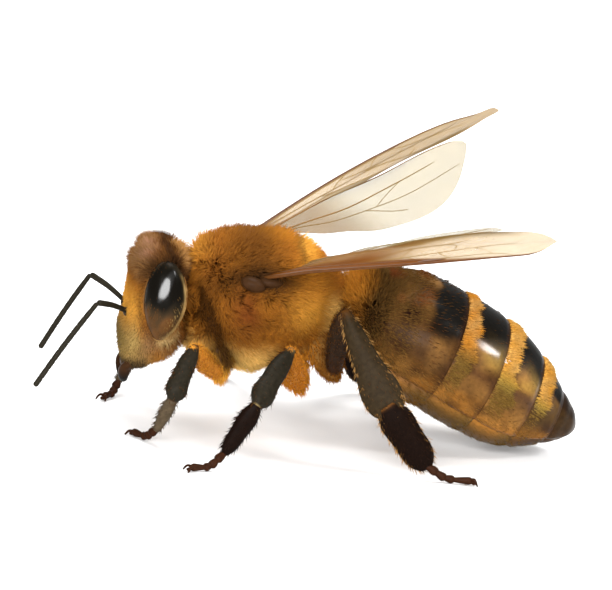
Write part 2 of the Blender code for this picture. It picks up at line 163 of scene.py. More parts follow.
def smooth(xs: Array, ys: Array, at: Array) -> Array:
    """Cubic Hermite curve through (xs, ys), with each slope taken from the neighbouring points.

    Args:
        xs: Rising station values.
        ys: One row for each station.
        at: Where to read the curve.

    Returns:
        One row for each value of at.
    """
    xs, ys, at = (np.asarray(v, float) for v in (xs, ys, at))
    slope = np.gradient(ys, xs, axis=0)
    k = np.clip(np.searchsorted(xs, at) - 1, 0, len(xs) - 2)
    width = xs[k + 1] - xs[k]
    t = np.clip((at - xs[k]) / width, 0.0, 1.0)
    if ys.ndim > 1:
        t, width = t[:, None], width[:, None]
    return (
        (2 * t**3 - 3 * t**2 + 1) * ys[k]
        + (t**3 - 2 * t**2 + t) * width * slope[k]
        + (3 * t**2 - 2 * t**3) * ys[k + 1]
        + (t**3 - t**2) * width * slope[k + 1]
    )


def ease(low: float, high: float, value: Array) -> Array:
    """A soft step from 0 at low to 1 at high: 3t² - 2t³."""
    t = np.clip((value - low) / (high - low), 0.0, 1.0)
    return t * t * (3 - 2 * t)


def bump(centre: float, width: float, value: Array) -> Array:
    """A bell of height 1: exp(-((value - centre) / width)²)."""
    return np.exp(-(((value - centre) / width) ** 2))


def ripple(points: Array, scale: float, seed: int) -> Array:
    """Smooth noise between about -1 and 1: a mean of sines along seeded directions.

    Args:
        points: Where to read it.
        scale: Rough length of its waves in millimetres.
        seed: Seed of their directions.

    Returns:
        One value for each point.
    """
    rng = np.random.default_rng(seed)
    waves = rng.normal(size=(7, 3)) / scale
    phases = rng.uniform(0, TURN, 7)
    return np.sin(points @ waves.T + phases).mean(axis=1) * 1.9


def ripples(points: Array, scale: float, seed: int) -> Array:
    """Three ripples as one vector at each point."""
    return np.stack([ripple(points, scale, seed + k) for k in range(3)], -1)


def part_of(mask: Array) -> Array:
    """The mask held between 0 and 1."""
    return np.clip(mask, 0, 1)


def painted(base: Array, *coats: tuple[Array, Array]) -> Array:
    """Colours laid over one another: each turns what lies under it into itself where its mask is 1.

    Args:
        base: The first colour, or a row for each point.
        coats: Pairs of a colour and its mask.

    Returns:
        A row for each point.
    """
    base = np.asarray(base)
    for colour, mask in coats:
        base = base + (np.asarray(colour) - base) * np.asarray(mask)[..., None]
    return base


@dataclass
class Surface:
    """A surface in millimetres, with named values at its points."""

    points: Array
    quads: Array
    tris: Array
    values: dict[str, Array] = field(default_factory=dict)

    def triangles(self) -> Array:
        """All faces as triangles."""
        return np.concatenate([self.quads[:, [0, 1, 2]], self.quads[:, [0, 2, 3]], self.tris])

    def corners(self) -> tuple[Array, Array, Array]:
        """The three corners of every triangle."""
        return tuple(self.points[self.triangles()[:, k]] for k in range(3))

    def normals(self) -> Array:
        """Point normals: the sum of the neighbouring triangles' area vectors.

        Returns:
            One unit vector for each point.
        """
        a, b, c = self.corners()
        area = np.cross(b - a, c - a)
        total = np.zeros_like(self.points)
        for k in range(3):
            np.add.at(total, self.triangles()[:, k], area)
        return unit(total)

    def outward(self) -> "Surface":
        """The same closed surface with its faces turned out, judged by its signed volume.

        Returns:
            The surface itself.
        """
        a, b, c = self.corners()
        if np.einsum("ij,ij->i", a, np.cross(b, c)).sum() < 0:
            self.quads = self.quads[:, ::-1]
            self.tris = self.tris[:, ::-1]
        return self

    @staticmethod
    def joined(surfaces: list["Surface"]) -> "Surface":
        """One surface of several, with the values that all of them hold.

        Args:
            surfaces: The surfaces in order.

        Returns:
            The joined surface.
        """
        starts = np.cumsum([0] + [len(s.points) for s in surfaces[:-1]])
        shared = set.intersection(*(set(s.values) for s in surfaces))
        return Surface(
            np.concatenate([s.points for s in surfaces]),
            np.concatenate([s.quads + start for s, start in zip(surfaces, starts)]),
            np.concatenate([s.tris + start for s, start in zip(surfaces, starts)]),
            {key: np.concatenate([s.values[key] for s in surfaces]) for key in shared},
        )


def ring_faces(rings: int, count: int) -> Array:
    """Quads between closed rings of count points.

    Args:
        rings: Number of rings.
        count: Points round a ring.

    Returns:
        One row of four corners for each face.
    """
    i, k = np.meshgrid(np.arange(rings - 1), np.arange(count), indexing="ij")
    j = (k + 1) % count
    return np.stack(
        [i * count + k, i * count + j, (i + 1) * count + j, (i + 1) * count + k], -1
    ).reshape(-1, 4)


def sheet_faces(rows: int, columns: int) -> Array:
    """Quads of an open grid.

    Args:
        rows: Rows of the grid.
        columns: Columns of the grid.

    Returns:
        One row of four corners for each face.
    """
    i, k = np.meshgrid(np.arange(rows - 1), np.arange(columns - 1), indexing="ij")
    first = i * columns + k
    return np.stack([first, first + 1, first + columns + 1, first + columns], -1).reshape(-1, 4)


def swept(centres: Array, across: Array, up: Array, count: int = 20, power: float = 1.0) -> Surface:
    """A closed tube: centre + across * cos(angle) + up * sin(angle), with a pole at each end.

    Args:
        centres: One centre for each ring.
        across: Half widths as vectors, one for each ring.
        up: Half heights as vectors.
        count: Points round a ring.
        power: Under 1 it makes the oval squarer.

    Returns:
        The surface, with values along (0 to 1) and angle.
    """
    angle = np.linspace(0, TURN, count, endpoint=False)
    c, s = (np.sign(wave) * np.abs(wave) ** power for wave in (np.cos(angle), np.sin(angle)))
    rings = centres[:, None] + across[:, None] * c[:, None] + up[:, None] * s[:, None]
    points = np.concatenate([rings.reshape(-1, 3), centres[:1], centres[-1:]])
    k = np.arange(count)
    j = (k + 1) % count
    last = (len(centres) - 1) * count
    start = np.stack([np.full(count, len(points) - 2), j, k], -1)
    end = np.stack([last + k, last + j, np.full(count, len(points) - 1)], -1)
    along = np.repeat(np.linspace(0, 1, len(centres)), count)
    values = {"along": np.r_[along, 0.0, 1.0], "angle": np.r_[np.tile(angle, len(centres)), 0.0, 0.0]}
    return Surface(points, ring_faces(len(centres), count), np.concatenate([start, end]), values).outward()


def rows(x: Array, y: Array, z: Array) -> Array:
    """Vectors from their three columns, any of which may be one number."""
    return np.stack(np.broadcast_arrays(x, y, z), -1)


def limb(start: Array, end: Array, table: Array, thin: Array, bow: float = 0.0, rings: int = 26) -> Surface:
    """A length of limb: ovals along a slightly bowed line, rounded off at both ends.

    Args:
        start: First joint.
        end: Second joint.
        table: Rows of (place from 0 to 1, half width, half thickness).
        thin: Rough direction of the thickness.
        bow: How far the middle stands out along the width direction.
        rings: Number of rings.

    Returns:
        The closed surface.
    """
    past, round_off = 0.7, 1.1
    table = np.asarray(table, float)
    along = unit(end - start)
    length = np.linalg.norm(end - start)
    thin = unit(thin - along * (along @ thin))
    wide = np.cross(along, thin)
    first, last = (0.5 * (row[1] + row[2]) / length for row in table[[0, -1]])
    turn = np.linspace(-1, 1, rings)
    place = np.interp(np.sin(turn * math.pi / 2), (-1, 1), (-first * past, 1 + last * past))
    size = smooth(table[:, 0], table[:, 1:], np.clip(place, table[0, 0], table[-1, 0]))
    before = -place / (first * round_off)
    over = (place - 1 + last * 0.4) / (last * round_off)
    ends = [np.sqrt(np.clip(1 - gone.clip(0) ** 2, 0, 1)) for gone in (before, over)]
    size = size * (ends[0] * ends[1])[:, None].clip(0.02)
    line = (
        start + along * (place * length)[:, None] + wide * (bow * np.sin(part_of(place) * math.pi))[:, None]
    )
    return swept(line, wide * size[:, :1], thin * size[:, 1:])


def steps(path: Array) -> Array:
    """The distance along a path to each of its points."""
    return np.r_[0, np.cumsum(np.linalg.norm(np.diff(path, axis=0), axis=1))]


def domed(away: Array) -> Array:
    """How wide a round end is, at a distance from its tip given in radii: sqrt(1 - (1 - away)²)."""
    return np.sqrt(np.clip(1 - (1 - away).clip(0) ** 2, 0.0004, 1))


def bent_tube(path: Array, radii: Array, rings: int = 40, count: int = 16, flat: float = 1.0) -> Surface:
    """A round tube along a smooth curve through the path's points, rounded at its ends.

    Args:
        path: Points on the way.
        radii: Radius at each point.
        rings: Number of rings.
        count: Points round a ring.
        flat: Height of the section over its width.

    Returns:
        The closed surface.
    """
    path = np.asarray(path, float)
    step = steps(path)
    place = step[-1] * (1 - np.cos(np.linspace(0, math.pi, rings))) / 2
    line = smooth(step, path, place)
    radius = smooth(step, radii, place) * domed(place / radii[0]) * domed((step[-1] - place) / radii[-1])
    along = unit(np.gradient(line, axis=0))
    side = np.cross(along, np.array([0.0, 0.0, 1.0]))
    side = unit(np.where(np.linalg.norm(side, axis=1, keepdims=True) > 0.05, side, [0.0, 1.0, 0.0]))
    rise = np.cross(along, side)
    return swept(line, side * radius[:, None], rise * (radius * flat)[:, None], count)


def ball(centre: Array, radii: Array, tilt: float = 0.0, rings: int = 40, count: int = 48) -> Surface:
    """An ellipsoid about Z, turned by tilt about Y.

    Args:
        centre: Its centre.
        radii: Half its size along X, Y and Z.
        tilt: Turn in radians.
        rings: Number of rings.
        count: Points round a ring.

    Returns:
        The closed surface.
    """
    turn = np.linspace(-math.pi / 2, math.pi / 2, rings + 2)[1:-1]
    wide, thick = rows(np.cos(turn) * radii[0], 0, 0), rows(0, np.cos(turn) * radii[1], 0)
    made = swept(rows(0, 0, np.sin(turn) * radii[2]), wide, thick, count)
    c, s = math.cos(tilt), math.sin(tilt)
    made.points = made.points @ np.array([[c, 0, -s], [0, 1, 0], [s, 0, c]]) + np.asarray(centre)
    return made.outward()


# Placing in the row frame


@dataclass(frozen=True)
class BeeFrame:
    """Where the bee's own frame lies in the row frame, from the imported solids."""

    shift: Triple
    head_front: float = -6.07

    @classmethod
    def from_solids(cls) -> "BeeFrame":
        """Lines the head's front and the abdomen's middle up with their solids.

        Returns:
            The frame.
        """
        head_low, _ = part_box("head")
        low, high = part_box("abdomen_segment_3")
        return cls((head_low.x / MM - cls.head_front, (low.y + high.y) / 2 / MM, 0.0))

    def to_row(self, points: Array) -> Array:
        """Millimetres in the bee's frame to metres in the row frame."""
        return (np.asarray(points, float) + np.array(self.shift)) * MM


BEE = BeeFrame.from_solids()


# Finishes


def add(tree: bpy.types.NodeTree, kind: str, **values: float) -> bpy.types.Node:
    """A shader node with some sockets set. A socket such as From Min is given as From_Min.

    Args:
        tree: Tree that it goes into.
        kind: Its type, without the prefix ShaderNode.
        values: One value for each socket to set.

    Returns:
        The node.
    """
    node = tree.nodes.new(f"ShaderNode{kind}")
    for label, value in values.items():
        node.inputs[label.replace("_", " ")].default_value = value
    return node


def wire(tree: bpy.types.NodeTree, *links: tuple) -> None:
    """Links sockets, each given as (from node, its output, to node, its input)."""
    for source, out, target, into in links:
        tree.links.new(source.outputs[out], target.inputs[into])


class MottleGroup:
    """Shader group: a tint broken up by soft noise, and a fine height for bump."""

    name = "mottle"
    inputs = {"Vector": "Vector", "Tint": "Color", "Scale": "Float", "Contrast": "Float"}
    outputs = {"Colour": "Color", "Height": "Float"}

    @classmethod
    def get(cls) -> bpy.types.NodeTree:
        """The group, built on first use.

        Returns:
            The node group.
        """
        if cls.name in bpy.data.node_groups:
            return bpy.data.node_groups[cls.name]
        tree = bpy.data.node_groups.new(cls.name, "ShaderNodeTree")
        for side, sockets in (("INPUT", cls.inputs), ("OUTPUT", cls.outputs)):
            for label, kind in sockets.items():
                tree.interface.new_socket(label, in_out=side, socket_type=f"NodeSocket{kind}")
        inside, outside = (tree.nodes.new(f"NodeGroup{side}") for side in ("Input", "Output"))
        noise = add(tree, "TexNoise", Detail=4.0)
        spread = add(tree, "MapRange", From_Min=0.3, From_Max=0.7)
        least = add(tree, "Math")
        least.operation = "SUBTRACT"
        least.inputs[0].default_value = 1.0
        darker = add(tree, "Mix")
        darker.data_type = "RGBA"
        darker.blend_type = "MULTIPLY"
        darker.inputs["Factor"].default_value = 1.0
        wire(
            tree,
            (inside, "Vector", noise, "Vector"),
            (inside, "Scale", noise, "Scale"),
            (noise, "Fac", spread, "Value"),
            (inside, "Contrast", least, 1),
            (least, "Value", spread, "To Min"),
            (inside, "Tint", darker, "A"),
            (spread, "Result", darker, "B"),
            (darker, "Result", outside, "Colour"),
            (noise, "Fac", outside, "Height"),
        )
        return tree


@dataclass(frozen=True)
class Finish:
    """The piece's tint, mottled, with fine bump. Some finishes add gloss, six-sided facets or a thin veil."""

    slot: Slot
    name: str
    roughness: float
    specular: float
    scale: float
    contrast: float
    relief: float = 4e-6
    gloss_ior: float = 0.0
    facet: float = 0.0
    veiled: bool = False

    @cache
    def material(self) -> bpy.types.Material:
        """Builds the material, once.

        Returns:
            The material.
        """
        material = bpy.data.materials.new(self.name)
        material.use_nodes = True
        tree = material.node_tree
        shader = tree.nodes["Principled BSDF"]
        place = add(tree, "TexCoord")
        mottle = add(tree, "Group")
        mottle.node_tree = MottleGroup.get()
        mottle.inputs["Scale"].default_value = self.scale
        mottle.inputs["Contrast"].default_value = self.contrast
        relief = add(tree, "Bump", Strength=1.0, Distance=self.relief)
        wire(
            tree,
            (place, "Object", mottle, "Vector"),
            (self.reader(tree, "tint"), "Color", mottle, "Tint"),
            (mottle, "Colour", shader, "Base Color"),
            (mottle, "Height", relief, "Height"),
            (relief, "Normal", shader, "Normal"),
        )
        shader.inputs["Roughness"].default_value = self.roughness
        shader.inputs["Specular IOR Level"].default_value = self.specular
        if self.gloss_ior:
            wire(tree, (self.reader(tree, "gloss"), "Fac", shader, "Coat Weight"))
            shader.inputs["Coat Roughness"].default_value = 0.14
            shader.inputs["Coat IOR"].default_value = self.gloss_ior
        if self.facet:
            cells = add(tree, "TexVoronoi", Scale=self.facet, Randomness=0.35)
            wire(tree, (place, "Object", cells, "Vector"), (cells, "Distance", relief, "Height"))
        if self.veiled:
            wire(tree, (self.reader(tree, "veil"), "Fac", shader, "Alpha"))
        return material

    @staticmethod
    def reader(tree: bpy.types.NodeTree, label: str) -> bpy.types.Node:
        """A node that reads one of the piece's own attributes.

        Args:
            tree: Tree that it goes into.
            label: The attribute's name.

        Returns:
            The node.
        """
        node = add(tree, "Attribute")
        node.attribute_name = label
        return node


class Look(Enum):
    """Every finish of the model: slot, name, roughness, specular level, mottling's scale and contrast."""

    SKIN = Finish(Slot.FUR, "skin", 0.8, 0.05, 5000, 0.35)
    HAIR = Finish(Slot.FUR, "coat_hair", 0.6, 0.03, 3000, 0.12)
    PLATE = Finish(Slot.SHELL, "abdomen_plate", 0.3, 0.03, 9000, 0.35, gloss_ior=1.5)
    LEG = Finish(Slot.SHELL, "leg_shell", 0.42, 0.03, 9000, 0.4, relief=8e-6)
    FEELER = Finish(Slot.FEELER, "feeler", 0.5, 0.05, 12000, 0.3)
    MOUTH = Finish(Slot.SHELL, "mouth_part", 0.4, 0.03, 6000, 0.3)
    EYE = Finish(Slot.EYE, "compound_eye", 0.25, 0.03, 3000, 0.1, relief=1.5e-6, gloss_ior=1.58, facet=26000)
    MEMBRANE = Finish(Slot.WING, "wing_membrane", 0.4, 0.01, 2500, 0.14, veiled=True)
    VEIN = Finish(Slot.WING, "wing_vein", 0.45, 0.15, 6000, 0.25)


def piece(
    name: str,
    surface: Surface,
    tints: Array,
    look: Look,
    *nodes: str,
    slot: Slot | None = None,
    **masks: Array,
) -> bpy.types.Object:
    """Puts a surface into a new smooth mesh object at the origin, with its finish, body and solids.

    Args:
        name: Name of the piece.
        surface: What to write.
        tints: One colour, or one for each point, kept as the attribute tint.
        look: Its finish.
        nodes: Solids that it replaces.
        slot: Not used.
        masks: Further values for each point, each kept as the attribute of its name.

    Returns:
        The object, linked to the scene.
    """
    mesh = bpy.data.meshes.new(name)
    count = len(surface.points)
    corners = np.concatenate([surface.quads.ravel(), surface.tris.ravel()]).astype(np.int32)
    sizes = np.r_[np.full(len(surface.quads), 4), np.full(len(surface.tris), 3)].astype(np.int32)
    mesh.vertices.add(count)
    mesh.vertices.foreach_set("co", BEE.to_row(surface.points).astype(np.float32).ravel())
    mesh.loops.add(len(corners))
    mesh.loops.foreach_set("vertex_index", corners)
    mesh.polygons.add(len(sizes))
    mesh.polygons.foreach_set("loop_start", (np.cumsum(sizes) - sizes).astype(np.int32))
    mesh.polygons.foreach_set("use_smooth", np.ones(len(sizes), bool))
    mesh.update(calc_edges=True)
    layer = mesh.color_attributes.new("tint", "FLOAT_COLOR", "POINT")
    tints = np.c_[np.broadcast_to(tints, (count, 3)), np.ones(count)]
    layer.data.foreach_set("color", tints.astype(np.float32).ravel())
    for label, values in masks.items():
        mesh.attributes.new(label, "FLOAT", "POINT").data.foreach_set("value", values.astype(np.float32))
    mesh.materials.append(look.value.material())
    obj = bpy.data.objects.new(name, mesh)
    bpy.context.scene.collection.objects.link(obj)
    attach(obj, ROOT)
    if nodes:
        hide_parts(*nodes)
    log.info("%s: %d faces", name, len(sizes))
    return obj


# The coat


@dataclass
class Roots:
    """Where tufts grow: places, normals and the surface's named values there."""

    points: Array
    normals: Array
    values: dict[str, Array]

    def read(self, *labels: str) -> tuple[Array, ...]:
        """Several named values at once."""
        return tuple(self.values[label] for label in labels)


@dataclass
class Coat:
    """Tufts as thin solid spikes of three sides: root ring, bent middle ring and tip.

    Each kind of coat gives its own rules: thickness, length, comb, lean and tint for each root.
    """

    name: str
    seed: int
    count: int
    width: float
    curl: float
    mess: float
    centre: Triple
    axis: Triple = (0.0, 0.0, 1.0)
    patch: float = 0.003
    sunk: float = 0.03
    floor: float = 0.012
    shading: Triple = (0.62, 0.95, 1.12)

    def thickness(self, roots: Roots) -> Array:
        """How densely the tufts stand."""
        raise NotImplementedError

    def length(self, roots: Roots) -> Array:
        """How long the tufts are."""
        raise NotImplementedError

    def comb(self, roots: Roots) -> Array:
        """Which way the tufts lie."""
        raise NotImplementedError

    def lean(self, roots: Roots) -> Array:
        """How far the tufts turn from the skin's normal into the comb's direction, in radians."""
        raise NotImplementedError

    def tint(self, roots: Roots) -> Array:
        """The tufts' colours."""
        raise NotImplementedError

    def unwrap(self, points: Array) -> Array:
        """The skin's own unwrap: the angle round the axis, and the angle from it, each from 0 to 1.

        Args:
            points: Places on the skin.

        Returns:
            A pair of numbers for each point.
        """
        axis = unit(np.array(self.axis))
        side = unit(np.cross(axis, [0.0, 0.0, 1.0]) + [0.0, 1e-9, 0.0])
        rise = np.cross(side, axis)
        away = unit(points - np.array(self.centre))
        turn = np.arctan2(away @ side, -(away @ rise)) / TURN + 0.5
        return np.stack([turn, np.arccos(np.clip(away @ axis, -1, 1)) / math.pi], -1)

    def roots(self, surface: Surface, rng: np.random.Generator) -> Roots:
        """Picks roots over the surface, as dense as the thickness asks.

        Args:
            surface: Where the coat grows.
            rng: The coat's seeded generator.

        Returns:
            The roots.
        """
        tris = surface.triangles()
        normals = surface.normals()
        a, b, c = surface.corners()
        middle = Roots(
            (a + b + c) / 3,
            unit(normals[tris].mean(axis=1)),
            {key: value[tris].mean(axis=1) for key, value in surface.values.items()},
        )
        weight = np.linalg.norm(np.cross(b - a, c - a), axis=1) * np.clip(self.thickness(middle), 0, None)
        chosen = rng.choice(len(tris), self.count, p=weight / weight.sum())
        mix = rng.dirichlet((1, 1, 1), self.count)
        corners = tris[chosen]
        return Roots(
            np.einsum("ijk,ij->ik", surface.points[corners], mix),
            unit(np.einsum("ijk,ij->ik", normals[corners], mix)),
            {key: np.einsum("ij,ij->i", value[corners], mix) for key, value in surface.values.items()},
        )

    def grow(self, surface: Surface) -> None:
        """Grows the tufts over a surface.

        Args:
            surface: Where the coat grows.
        """
        rng = np.random.default_rng(self.seed)
        roots = self.roots(surface, rng)
        pieces = math.ceil(self.count / MOST_TUFTS)
        for k in range(pieces):
            part = slice(k, None, pieces)
            share = Roots(
                roots.points[part], roots.normals[part], {n: v[part] for n, v in roots.values.items()}
            )
            self.write(f"{self.name}_{k + 1}" if pieces > 1 else self.name, share, rng)

    def write(self, name: str, roots: Roots, rng: np.random.Generator) -> None:
        """Makes the tufts of one piece.

        The root leaves the skin between its normal and the comb's direction, by the lean, and the outer
        half bends further along the comb, by the curl. Each tuft tapers from its width to a point.

        Args:
            name: Name of the piece.
            roots: Where the tufts grow.
            rng: The coat's seeded generator.
        """
        n = len(roots.points)
        comb = self.comb(roots)
        comb = unit(comb - roots.normals * np.einsum("ij,ij->i", comb, roots.normals)[:, None])
        lean = np.broadcast_to(self.lean(roots), n)[:, None]
        length = (self.length(roots) * rng.uniform(0.72, 1.12, n))[:, None]
        stray = rng.normal(size=(n, 3)) * self.mess
        first = unit(roots.normals * np.cos(lean) + comb * np.sin(lean) + stray)
        second = unit(first + comb * self.curl + rng.normal(size=(n, 3)) * self.mess * 0.8)
        root = roots.points - roots.normals * self.sunk
        middle = root + first * length * 0.5
        tip = middle + second * length * 0.5
        side = unit(np.cross(first, rng.normal(size=(n, 3))))
        rise = np.cross(first, side)
        width = (self.width * rng.uniform(0.75, 1.25, n))[:, None, None]
        angle = np.arange(3) * TURN / 3
        ring = side[:, None] * np.cos(angle)[:, None] + rise[:, None] * np.sin(angle)[:, None]
        points = np.concatenate(
            [root[:, None] + ring * width, middle[:, None] + ring * width * 0.62, tip[:, None]], axis=1
        )
        points[..., 2] = np.maximum(points[..., 2], self.floor)
        first_point = np.arange(n)[:, None, None] * 7
        quads = np.array([[k, (k + 1) % 3, 3 + (k + 1) % 3, 3 + k] for k in range(3)]) + first_point
        tris = np.array([[0, 2, 1]] + [[3 + k, 3 + (k + 1) % 3, 6] for k in range(3)]) + first_point
        tint = self.tint(roots) * rng.uniform(0.78, 1.15, (n, 1))
        tints = part_of(tint[:, None] * np.repeat(self.shading, (3, 3, 1))[:, None])
        surface = Surface(points.reshape(-1, 3), quads.reshape(-1, 4), tris.reshape(-1, 3))
        self.lay_map(piece(name, surface, tints.reshape(-1, 3), Look.HAIR), roots)

    def lay_map(self, obj: bpy.types.Object, roots: Roots) -> None:
        """Gives each tuft a small patch of the bake map at its root's place on the skin's unwrap.

        Args:
            obj: The tufts' object.
            roots: Where they grow.
        """
        corner = (self.unwrap(roots.points) * (1 - self.patch))[:, None, None]
        thirds = [(k / 3, (k + 1) / 3) for k in range(3)]
        quad = np.array([[[a, 0], [b, 0], [b, 0.5], [a, 0.5]] for a, b in thirds])
        tri = [[[a, 0.5], [b, 0.5], [(k + 0.5) / 3, 1]] for k, (a, b) in enumerate(thirds)]
        tri = np.array([[[0, 0], [0.33, 0], [0.17, 0.1]]] + tri)
        flat = [(corner + shape.reshape(1, 12, 1, 2) * self.patch).reshape(-1, 2) for shape in (quad, tri)]
        layer = obj.data.uv_layers.new(name="OFBake")
        layer.data.foreach_set("uv", np.concatenate(flat).astype(np.float32).ravel())


# Head, trunk and the skin over them

# Stations of the trunk: x, underside, top and half width.
TRUNK = np.array(
    [
        (-4.32, 2.85, 4.36, 0.72), (-4.24, 2.42, 4.70, 1.14), (-4.02, 2.00, 5.00, 1.54),
        (-3.55, 1.68, 5.28, 1.88), (-2.95, 1.62, 5.45, 2.05), (-2.30, 1.72, 5.45, 2.08),
        (-1.65, 1.95, 5.30, 1.92), (-1.10, 2.20, 5.00, 1.60), (-0.70, 2.45, 4.60, 1.22),
        (-0.44, 2.72, 4.18, 0.82), (-0.27, 2.96, 3.92, 0.50),
    ]
)
# Stations of the head: z, front, rear and half width.
HEAD = np.array(
    [
        (1.42, -5.76, -5.34, 0.40), (1.52, -5.88, -5.15, 0.70), (1.75, -5.97, -4.95, 0.96),
        (2.05, -6.04, -4.74, 1.24), (2.45, -6.07, -4.56, 1.52), (2.95, -6.05, -4.44, 1.72),
        (3.55, -6.01, -4.40, 1.74), (4.10, -5.94, -4.42, 1.62), (4.50, -5.79, -4.50, 1.36),
        (4.71, -5.60, -4.66, 0.98), (4.80, -5.38, -4.92, 0.42),
    ]
)


class Markings:
    """The bee's colour at any place on its head and trunk, shared by skin and coat."""

    @staticmethod
    def collar(points: Array) -> Array:
        """1 on the dark band that slants down each side of the trunk behind the head.

        Args:
            points: Places near the surface.

        Returns:
            One value for each point.
        """
        x, y, z = points.T
        across = x - (-4.26 + 0.49 * (4.14 - z))
        return bump(0.0, 0.36, across) * ease(5.1, 4.6, z) * ease(1.75, 2.0, z) * ease(0.4, 0.8, np.abs(y))

    @staticmethod
    def lip(points: Array) -> Array:
        """Where a point lies across the curved groove before the trunk's hind lip, as its x at mid-back."""
        x, y, _ = points.T
        return x - 0.10 * y * y

    @staticmethod
    def eye_rim(points: Array) -> Array:
        """1 on the head close round each eye.

        Args:
            points: Places near the surface.

        Returns:
            One value for each point.
        """
        x, y, z = points.T
        away = np.sqrt(((x + 5.07) / 0.58) ** 2 + ((z - 3.66) / 1.02) ** 2)
        return bump(1.06, 0.15, away) * ease(1.0, 1.3, np.abs(y))

    @classmethod
    def head(cls, points: Array) -> Array:
        """Rosy brown crown, dark above the eyes, golden brow, olive face, a pale line behind each eye.

        Args:
            points: Places near the surface.

        Returns:
            A colour for each point.
        """
        x, y, z = points.T
        mixed = 0.18 * ripple(points, 0.22, 7)
        frayed = x + mixed * 0.5
        front = ease(-5.05, -5.45, x + mixed)
        rim, rear = cls.eye_rim(points), ease(-5.25, -4.95, x)
        return painted(
            HUE.amber,
            (HUE.gold, ease(-5.45, -5.85, x) * bump(3.25, 0.50, z) * 0.8),
            (HUE.tan, ease(2.95, 2.35, z) * 0.85),
            (HUE.rose, bump(2.45, 0.5, z) * ease(-5.7, -5.3, x) * 0.6),
            # Painted highlight: a lighter stripe down the front of the face.
            (HUE.face_painted_highlight, bump(-5.74, 0.13, x) * bump(2.55, 0.5, z) * 0.5),
            (HUE.face_front, ease(-5.7, -5.95, x) * bump(2.25, 0.55, z) * 0.85),
            (HUE.brown, ease(3.75, 4.2, z) * 0.8),
            (HUE.crown, ease(3.9, 4.5, z + mixed) * front * 0.75),
            (HUE.blush, ease(4.45, 4.9, z + mixed) * front * 0.95),
            (HUE.umber, bump(4.36, 0.24, z) * ease(1.0, 1.35, np.abs(y)) * ease(-5.75, -5.4, x) * 0.9),
            (HUE.umber, ease(-5.2, -4.98, x) * bump(4.05, 0.35, z) * 0.9),
            # Partly dark hair, partly painted shadow: a dark streak at the head's rear top, where the gap to
            # the trunk lies in shade.
            (HUE.umber, bump(-4.96, 0.17, frayed) * ease(3.9, 4.3, z) * 0.95),
            (HUE.nape, ease(-4.84, -4.68, frayed) * ease(4.2, 4.55, z) * 0.85),
            (HUE.mouth_edge, ease(2.0, 1.62, z) * ease(-5.05, -5.35, x) * 0.9),
            (HUE.face_edge, ease(-5.9, -6.02, x) * ease(2.95, 2.5, z) * 0.6),
            (HUE.amber, ease(-4.95, -4.62, x) * ease(4.0, 3.4, z) * 0.8),
            (HUE.brown, bump(-4.75, 0.22, x) * bump(2.75, 0.45, z) * 0.6),
            (HUE.orange, bump(-5.0, 0.25, x) * bump(2.05, 0.3, z) * 0.6),
            (HUE.brown, rim * (1 - rear) * 0.5),
            (HUE.straw, rim * rear * ease(4.2, 3.8, z) * 0.95),
            (HUE.umber, rim * ease(3.9, 4.3, z) * 0.9),
        )

    @classmethod
    def trunk(cls, points: Array) -> Array:
        """Amber fur, gold behind, in front and below, with a brown saddle, collar and wing root. The gold on
        top and behind is partly painted highlight, the pale underside partly painted light, and the rear top
        is darkened with painted shade.

        Args:
            points: Places near the surface.

        Returns:
            A colour for each point.
        """
        x, y, z = points.T
        flank, far = (ease(low, high, np.abs(y)) for low, high in ((0.8, 1.3), (1.0, 1.4)))
        collar = cls.collar(points) * (1.15 + 0.25 * ripple(points, 0.3, 9))
        wing_root = bump(-2.60, 0.80, x) * bump(4.36, 0.34, z) * far
        return painted(
            HUE.amber,
            (HUE.orange, 0.40 + 0.40 * ripple(points, 0.45, 3)),
            # Partly golden hair, partly painted highlight: gold on the top and rear top, where the light from
            # above falls.
            (HUE.gold, ease(-2.05, -1.75, x) * ease(4.3, 4.9, z)),
            # Painted shade: the rear top is turned orange, then amber, against the lights that fall on it
            # from behind.
            (HUE.orange, ease(-1.60, -1.30, x) * ease(4.0, 4.4, z) * 0.95),
            (HUE.amber, ease(-1.45, -1.05, x) * ease(3.9, 4.3, z) * 0.6),
            # Partly golden hair, partly painted highlight along the top of the trunk.
            (HUE.top_gold_and_highlight, ease(4.9, 5.25, z) * 0.95),
            (HUE.gold, ease(-3.75, -4.15, x) * ease(4.3, 4.8, z) * 0.9),
            # Partly paler hair, partly painted light: the underside is made paler to stand in for light
            # bounced up from the floor.
            (HUE.blond, ease(2.95, 2.15, z) * 0.85),
            (HUE.gold, bump(-1.55, 0.45, x) * bump(3.75, 0.45, z) * 0.65),
            (HUE.brown, bump(-2.95, 0.85, x) * ease(4.35, 4.7, z) * ease(5.35, 5.05, z) * 0.9),
            (HUE.brown, bump(-2.75, 0.75, x) * bump(3.25, 0.6, z) * flank * 0.7),
            (HUE.brown, bump(-3.40, 0.7, x) * bump(4.35, 0.5, z) * flank * 0.95),
            (HUE.rust, bump(-3.05, 0.35, x) * bump(3.55, 0.42, z) * far * 0.65),
            (HUE.umber, bump(-1.84, 0.12, cls.lip(points)) * ease(4.3, 4.7, z) * 0.75),
            (HUE.collar, part_of(collar) * 0.97),
            (HUE.blond, ease(-1.25, -0.85, x) * ease(4.2, 3.6, z) * 0.55),
            (HUE.umber, np.minimum(wing_root * 1.3, 1.0) * 0.95),
        )

    @classmethod
    def body(cls, points: Array) -> Array:
        """Head markings in front of the neck and trunk markings behind it."""
        return painted(cls.head(points), (cls.trunk(points), ease(-4.44, -4.34, points[:, 0])))


